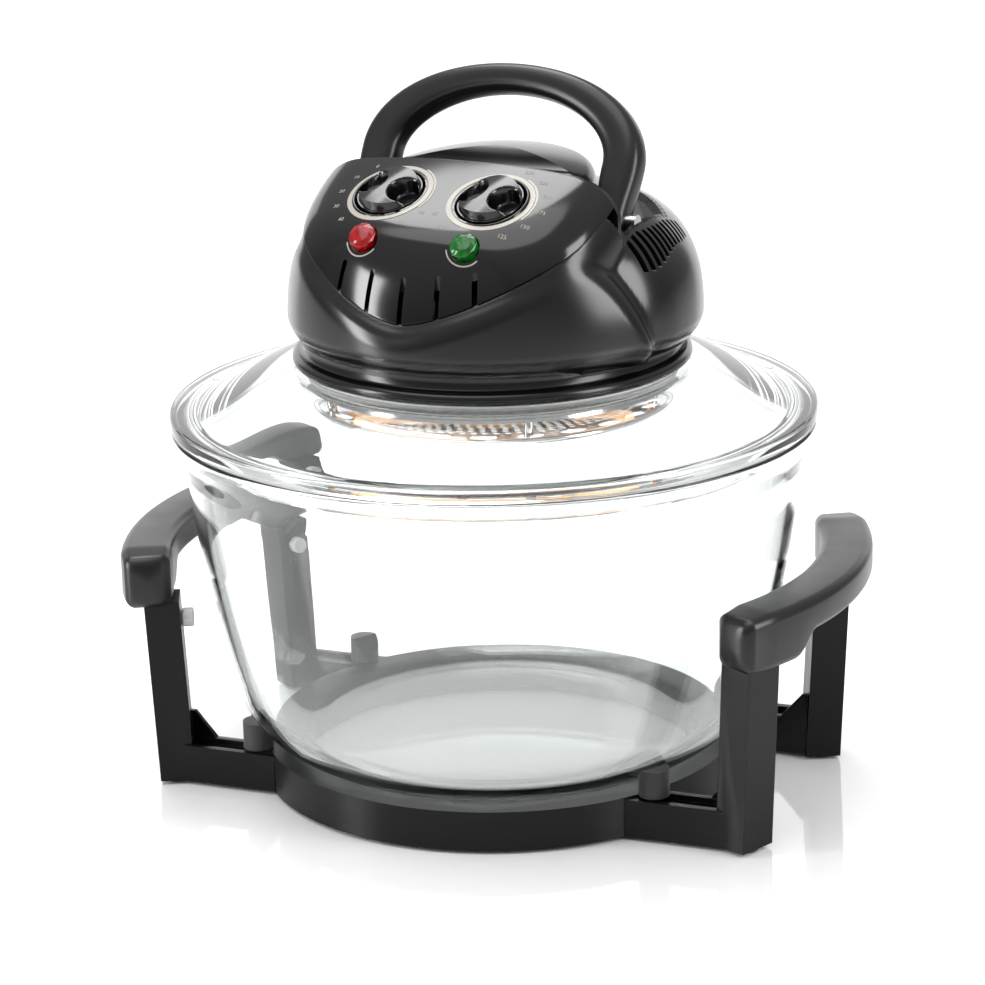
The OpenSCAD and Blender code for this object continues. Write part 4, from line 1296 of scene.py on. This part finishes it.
    def band(
        self, place: np.ndarray, inner: float, outer: float, start: float, end: float, high: float
    ) -> Rings:
        """A printed arc on the face: a thin closed strip between two radii and two angles in degrees.

        Args:
            place: The placing matrix that it runs round.
            inner: Its inner radius.
            outer: Its outer radius.
            start: The angle of its first end.
            end: The angle of its other end.
            high: How far it stands off the face.

        Returns:
            Its rings.
        """
        steps = max(4, int(abs(end - start) / 3))
        a = np.radians(np.linspace(start, end, steps + 1))[:, None]
        r = np.array([inner, inner, outer, outer])[None, :]
        points = self.on_face(place, r * np.cos(a), r * np.sin(a), 0.0)
        lift = np.array([-0.25, high, high, -0.25])[None, :, None]
        rings = points + lift * place[:3, 2]
        return rings if abs(end - start) >= 360 else capped(rings)

    def prints(self) -> None:
        """Scale rings, dial marks and the arcs under the lamps."""
        parts = []
        for side in Side:
            knob = self.knob_place(side)
            parts.append(self.band(knob, self.scale_r - 2.5, self.scale_r, 0, 360, 0.22))
            parts += [self.band(knob, self.well_r + 0.5, self.well_r + 1.1, a, a + 16, 0.12)
                      for a in np.arange(0, 360, 24)]
            parts.append(self.band(knob, self.scale_r + 0.4, self.scale_r + 1.4, -25, 60, 0.15))
            lamp = self.lamp_place(side)
            parts.append(self.band(lamp, self.lens_r + 1.9, self.lens_r + 2.6, -165, -35, 0.12))
        obj = many("dial_prints", parts)
        finish_piece(obj, "lid", "silver_print", "scale_rings", crease=60)

    def label(self, place: np.ndarray, number: int, degrees: float) -> bpy.types.Object:
        """One number, laid on the panel's face at an angle round a knob.

        Args:
            place: The knob's placing matrix.
            number: The number.
            degrees: The angle.

        Returns:
            Its flat mesh.
        """
        curve = bpy.data.curves.new("label", "FONT")
        curve.body, curve.size, curve.resolution_u = str(number), self.label_size, 2
        curve.align_x = curve.align_y = "CENTER"
        text = shown("label", curve)
        mesh = evaluated(text)
        bpy.data.objects.remove(text)
        flat = np.empty(len(mesh.vertices) * 3)
        mesh.vertices.foreach_get("co", flat)
        middle = self.label_r * heading(degrees)
        u, v = flat[0::3] + middle[0], flat[1::3] + middle[1]
        mesh.vertices.foreach_set("co", (on_head(self.on_face(place, u, v, 0.06)) * MM).ravel())
        return shown("label_mesh", mesh)

    def numbers(self) -> None:
        """Numbers round both dials: minutes on the left, degrees on the right."""
        labels = {
            Side.LEFT: zip((0, 10, 20, 30, 40, 50, 60), (130, 155, 180, 205, 230, 305, 330)),
            Side.RIGHT: zip((65, 100, 125, 150, 175, 200, 225, 250),
                            (210, 235, 305, 330, 355, 380, 405, 430)),
        }
        made = [self.label(self.knob_place(side), number, degrees)
                for side, marks in labels.items() for number, degrees in marks]
        whole = merge("dial_numbers", made)
        modify(whole, "SOLIDIFY", thickness=0.1 * MM, offset=0.0)
        finish_piece(whole, "lid", "silver_print")

    def lens(self, side: Side, name: str, slot: str) -> None:
        """A lamp lens cut like a jewel: ten flat-sided steps round a small table."""
        r = self.lens_r
        profile = joined((0, -7.2), (r + 1.5, -7.2), (r + 1.5, -4.7), (r, -4.7), (r, 0.3),
                         (r - 0.5, 1.0), (r * 0.62, 2.0), (r * 0.3, 2.3), (0, 2.4))
        rings = revolve(profile, 10)
        rings[4:7:2] = revolve(profile, 20)[4:7:2, 1::2]
        obj = from_rings(f"{name}_jewel", on_head(put(rings, self.lamp_place(side))))
        finish_piece(obj, "lid", slot, name, crease=8)

    def knob(self, side: Side, name: str, body: str) -> None:
        """A knob: a domed disc with two round scoops, which leave a waisted grip between them."""
        r, steps = self.knob_r, 112
        a = whole_turn(steps)[None, :]
        s = np.linspace(1, 0, 44)[:, None]
        u, v = (r - 1.0) * s * np.cos(a), (r - 1.0) * s * np.sin(a)
        turn = math.radians(-12)
        across, along = u * math.cos(turn) + v * math.sin(turn), -u * math.sin(turn) + v * math.cos(turn)
        scoop = 1 - smooth_step(np.hypot(np.abs(across) - 9.8, along * 0.86), 5.4, 8.0)
        base = -self.well_d + 0.6
        rim = 1 - smooth_step(s, 0.93, 1.0)
        crest = 9.2 + 1.4 * np.cos(along / r * 1.4) - 3.4 * (across / r) ** 2
        top = base + 5.2 + (crest - 5.2) * rim
        top = top - (top - base - 1.6) * scoop
        face = np.stack([u, v, top], -1)
        profile = joined((0, base), (r - 0.6, base), (r, base + 0.6), (r, base + 4.4), (r - 0.35, base + 5.2))
        rings = put(np.concatenate([revolve(profile, steps), face]), self.knob_place(side))
        obj = from_rings(f"{name}_moulding", on_head(rings))
        finish_piece(obj, body, "knob_plastic", name, crease=50)

    def build(self) -> None:
        """Makes every piece of the head."""
        self.collar()
        self.shell()
        self.crown()
        self.panel()
        self.prints()
        self.numbers()
        self.lens(Side.LEFT, "power_lens", "red_lens")
        self.lens(Side.RIGHT, "heat_lens", "green_lens")
        self.knob(Side.LEFT, "timer_knob", "timer_dial")
        self.knob(Side.RIGHT, "thermostat_knob", "heat_dial")


@dataclass
class CarryHandle:
    """The arched carrying handle with its cam, leaning back from its pivots."""

    half_width: float = 80.0
    length: float = 78.0
    thick: float = 18.0
    leg_thick: float = 21.0
    top_thick: float = 15.0
    deep: float = 17.5
    lean: float = 30.0
    pivot_z: float = 77.0
    straight: float = 28.0
    cam_r: float = 10.0
    cam_lift: float = 3.0
    cam_half: float = 4.0
    heel_in: float = 1.5
    fold: float = 40.0

    def to_head(self, u: np.ndarray, v: np.ndarray, w: np.ndarray) -> np.ndarray:
        """Points of the handle's leaning plane: u across, v up the legs, w out of the plane.

        Args:
            u: Distances across.
            v: Distances up the legs.
            w: Distances out of the plane.

        Returns:
            The points in the head's frame.
        """
        c, s = heading(self.lean)
        return np.stack([u, v * s - w * c, self.pivot_z + v * c + w * s], -1)

    def arch(self) -> bpy.types.Object:
        """A rounded section carried along the arch: straight legs that run into half an ellipse."""
        t = np.linspace(0, np.pi, 90)
        outer_a, outer_b = self.half_width, self.length - self.straight
        inner_a, inner_b = self.half_width - self.leg_thick, outer_b - self.top_thick
        curve_u = (outer_a + inner_a) / 2 * np.cos(t)
        curve_v = self.straight + (outer_b + inner_b) / 2 * np.sin(t)
        half_curve = np.hypot((outer_a - inner_a) * np.cos(t), (outer_b - inner_b) * np.sin(t)) / 2
        leg = np.linspace(0, self.straight, 8)[:-1]
        tip = -8.6 * np.sin(np.radians(np.linspace(90, 12, 6)))
        a = curve_u[0]
        u = np.concatenate([np.full(13, a), curve_u, np.full(13, -a)])
        v = np.concatenate([tip, leg, curve_v, leg[::-1], tip[::-1]])
        grow = np.sqrt(np.clip(1 - (tip / 9) ** 2, 0.01, 1))
        scale = np.concatenate([grow, np.ones(7), np.ones(len(t)), np.ones(7), grow[::-1]])
        widening = smooth_step(np.concatenate([tip, leg]), 4, 26)
        low_half = self.thick / 2 + (half_curve[0] - self.thick / 2) * widening
        half = np.concatenate([low_half, half_curve, low_half[::-1]])[:, None]
        du, dv = np.gradient(u), np.gradient(v)
        du[:13], dv[:13], du[-13:], dv[-13:] = 0, 1, 0, -1
        long = np.hypot(du, dv)
        normal_u, normal_v = dv / long, -du / long
        s = whole_turn(40)[None, :]
        power = 2 / 2.9
        out = half * np.sign(np.cos(s)) * np.abs(np.cos(s)) ** power
        deep = self.deep / 2 * np.sign(np.sin(s)) * np.abs(np.sin(s)) ** power
        rings = self.to_head(u[:, None] + out * normal_u[:, None], v[:, None] + out * normal_v[:, None],
                             deep * scale[:, None])
        return from_rings("arch", on_head(capped(rings)))

    def cam(self, x: float) -> bpy.types.Object:
        """The cam on one leg: its reach grows through the fold, and a lower heel closes it."""
        turn = np.radians(np.linspace(0, self.fold, 12) - 90 + self.lean)
        reach = self.cam_r + self.cam_lift * np.linspace(0, 1, 12)
        heel = np.radians(np.linspace(self.fold + 12, self.fold + 72, 6) - 90 + self.lean)
        low = self.cam_r - self.heel_in
        outline = joined(polar(reach, turn, 0.0)[:, :2], polar(low, heel, 0.0)[:, :2], (0, 0))
        c, s = heading(90 - self.lean)
        place = placing((0, 0, self.pivot_z), (0, c, s), (0, -s, c))
        return many("cam", [block(outline, place, (x - self.cam_half, x + self.cam_half))])

    def build(self) -> None:
        """Makes the handle as one piece."""
        whole = merge("carry_handle_moulding", [self.arch(), self.cam(self.half_width - self.leg_thick / 2)])
        finish_piece(whole, "handle", "handle_plastic", "carry_handle", crease=55)


def dress_nodes() -> None:
    """Gives every CAD node that is still shown the finish of its own slot."""
    for name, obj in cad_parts.items():
        for slot in obj.material_slots:
            slot.material = FINISHES[slot.material.name.split(".")[0].removesuffix("_finish")].material()
        log.info("%s dressed", name)


def main() -> None:
    """Builds the stage and the object, in order."""
    logging.basicConfig(level=logging.INFO, format="%(message)s")
    Studio().build()
    dress_nodes()
    Stand().build()
    Bowl().build()
    Lid().build()
    FanGuard().build()
    Head().build()
    CarryHandle().build()


if __name__ == "__main__":
    main()
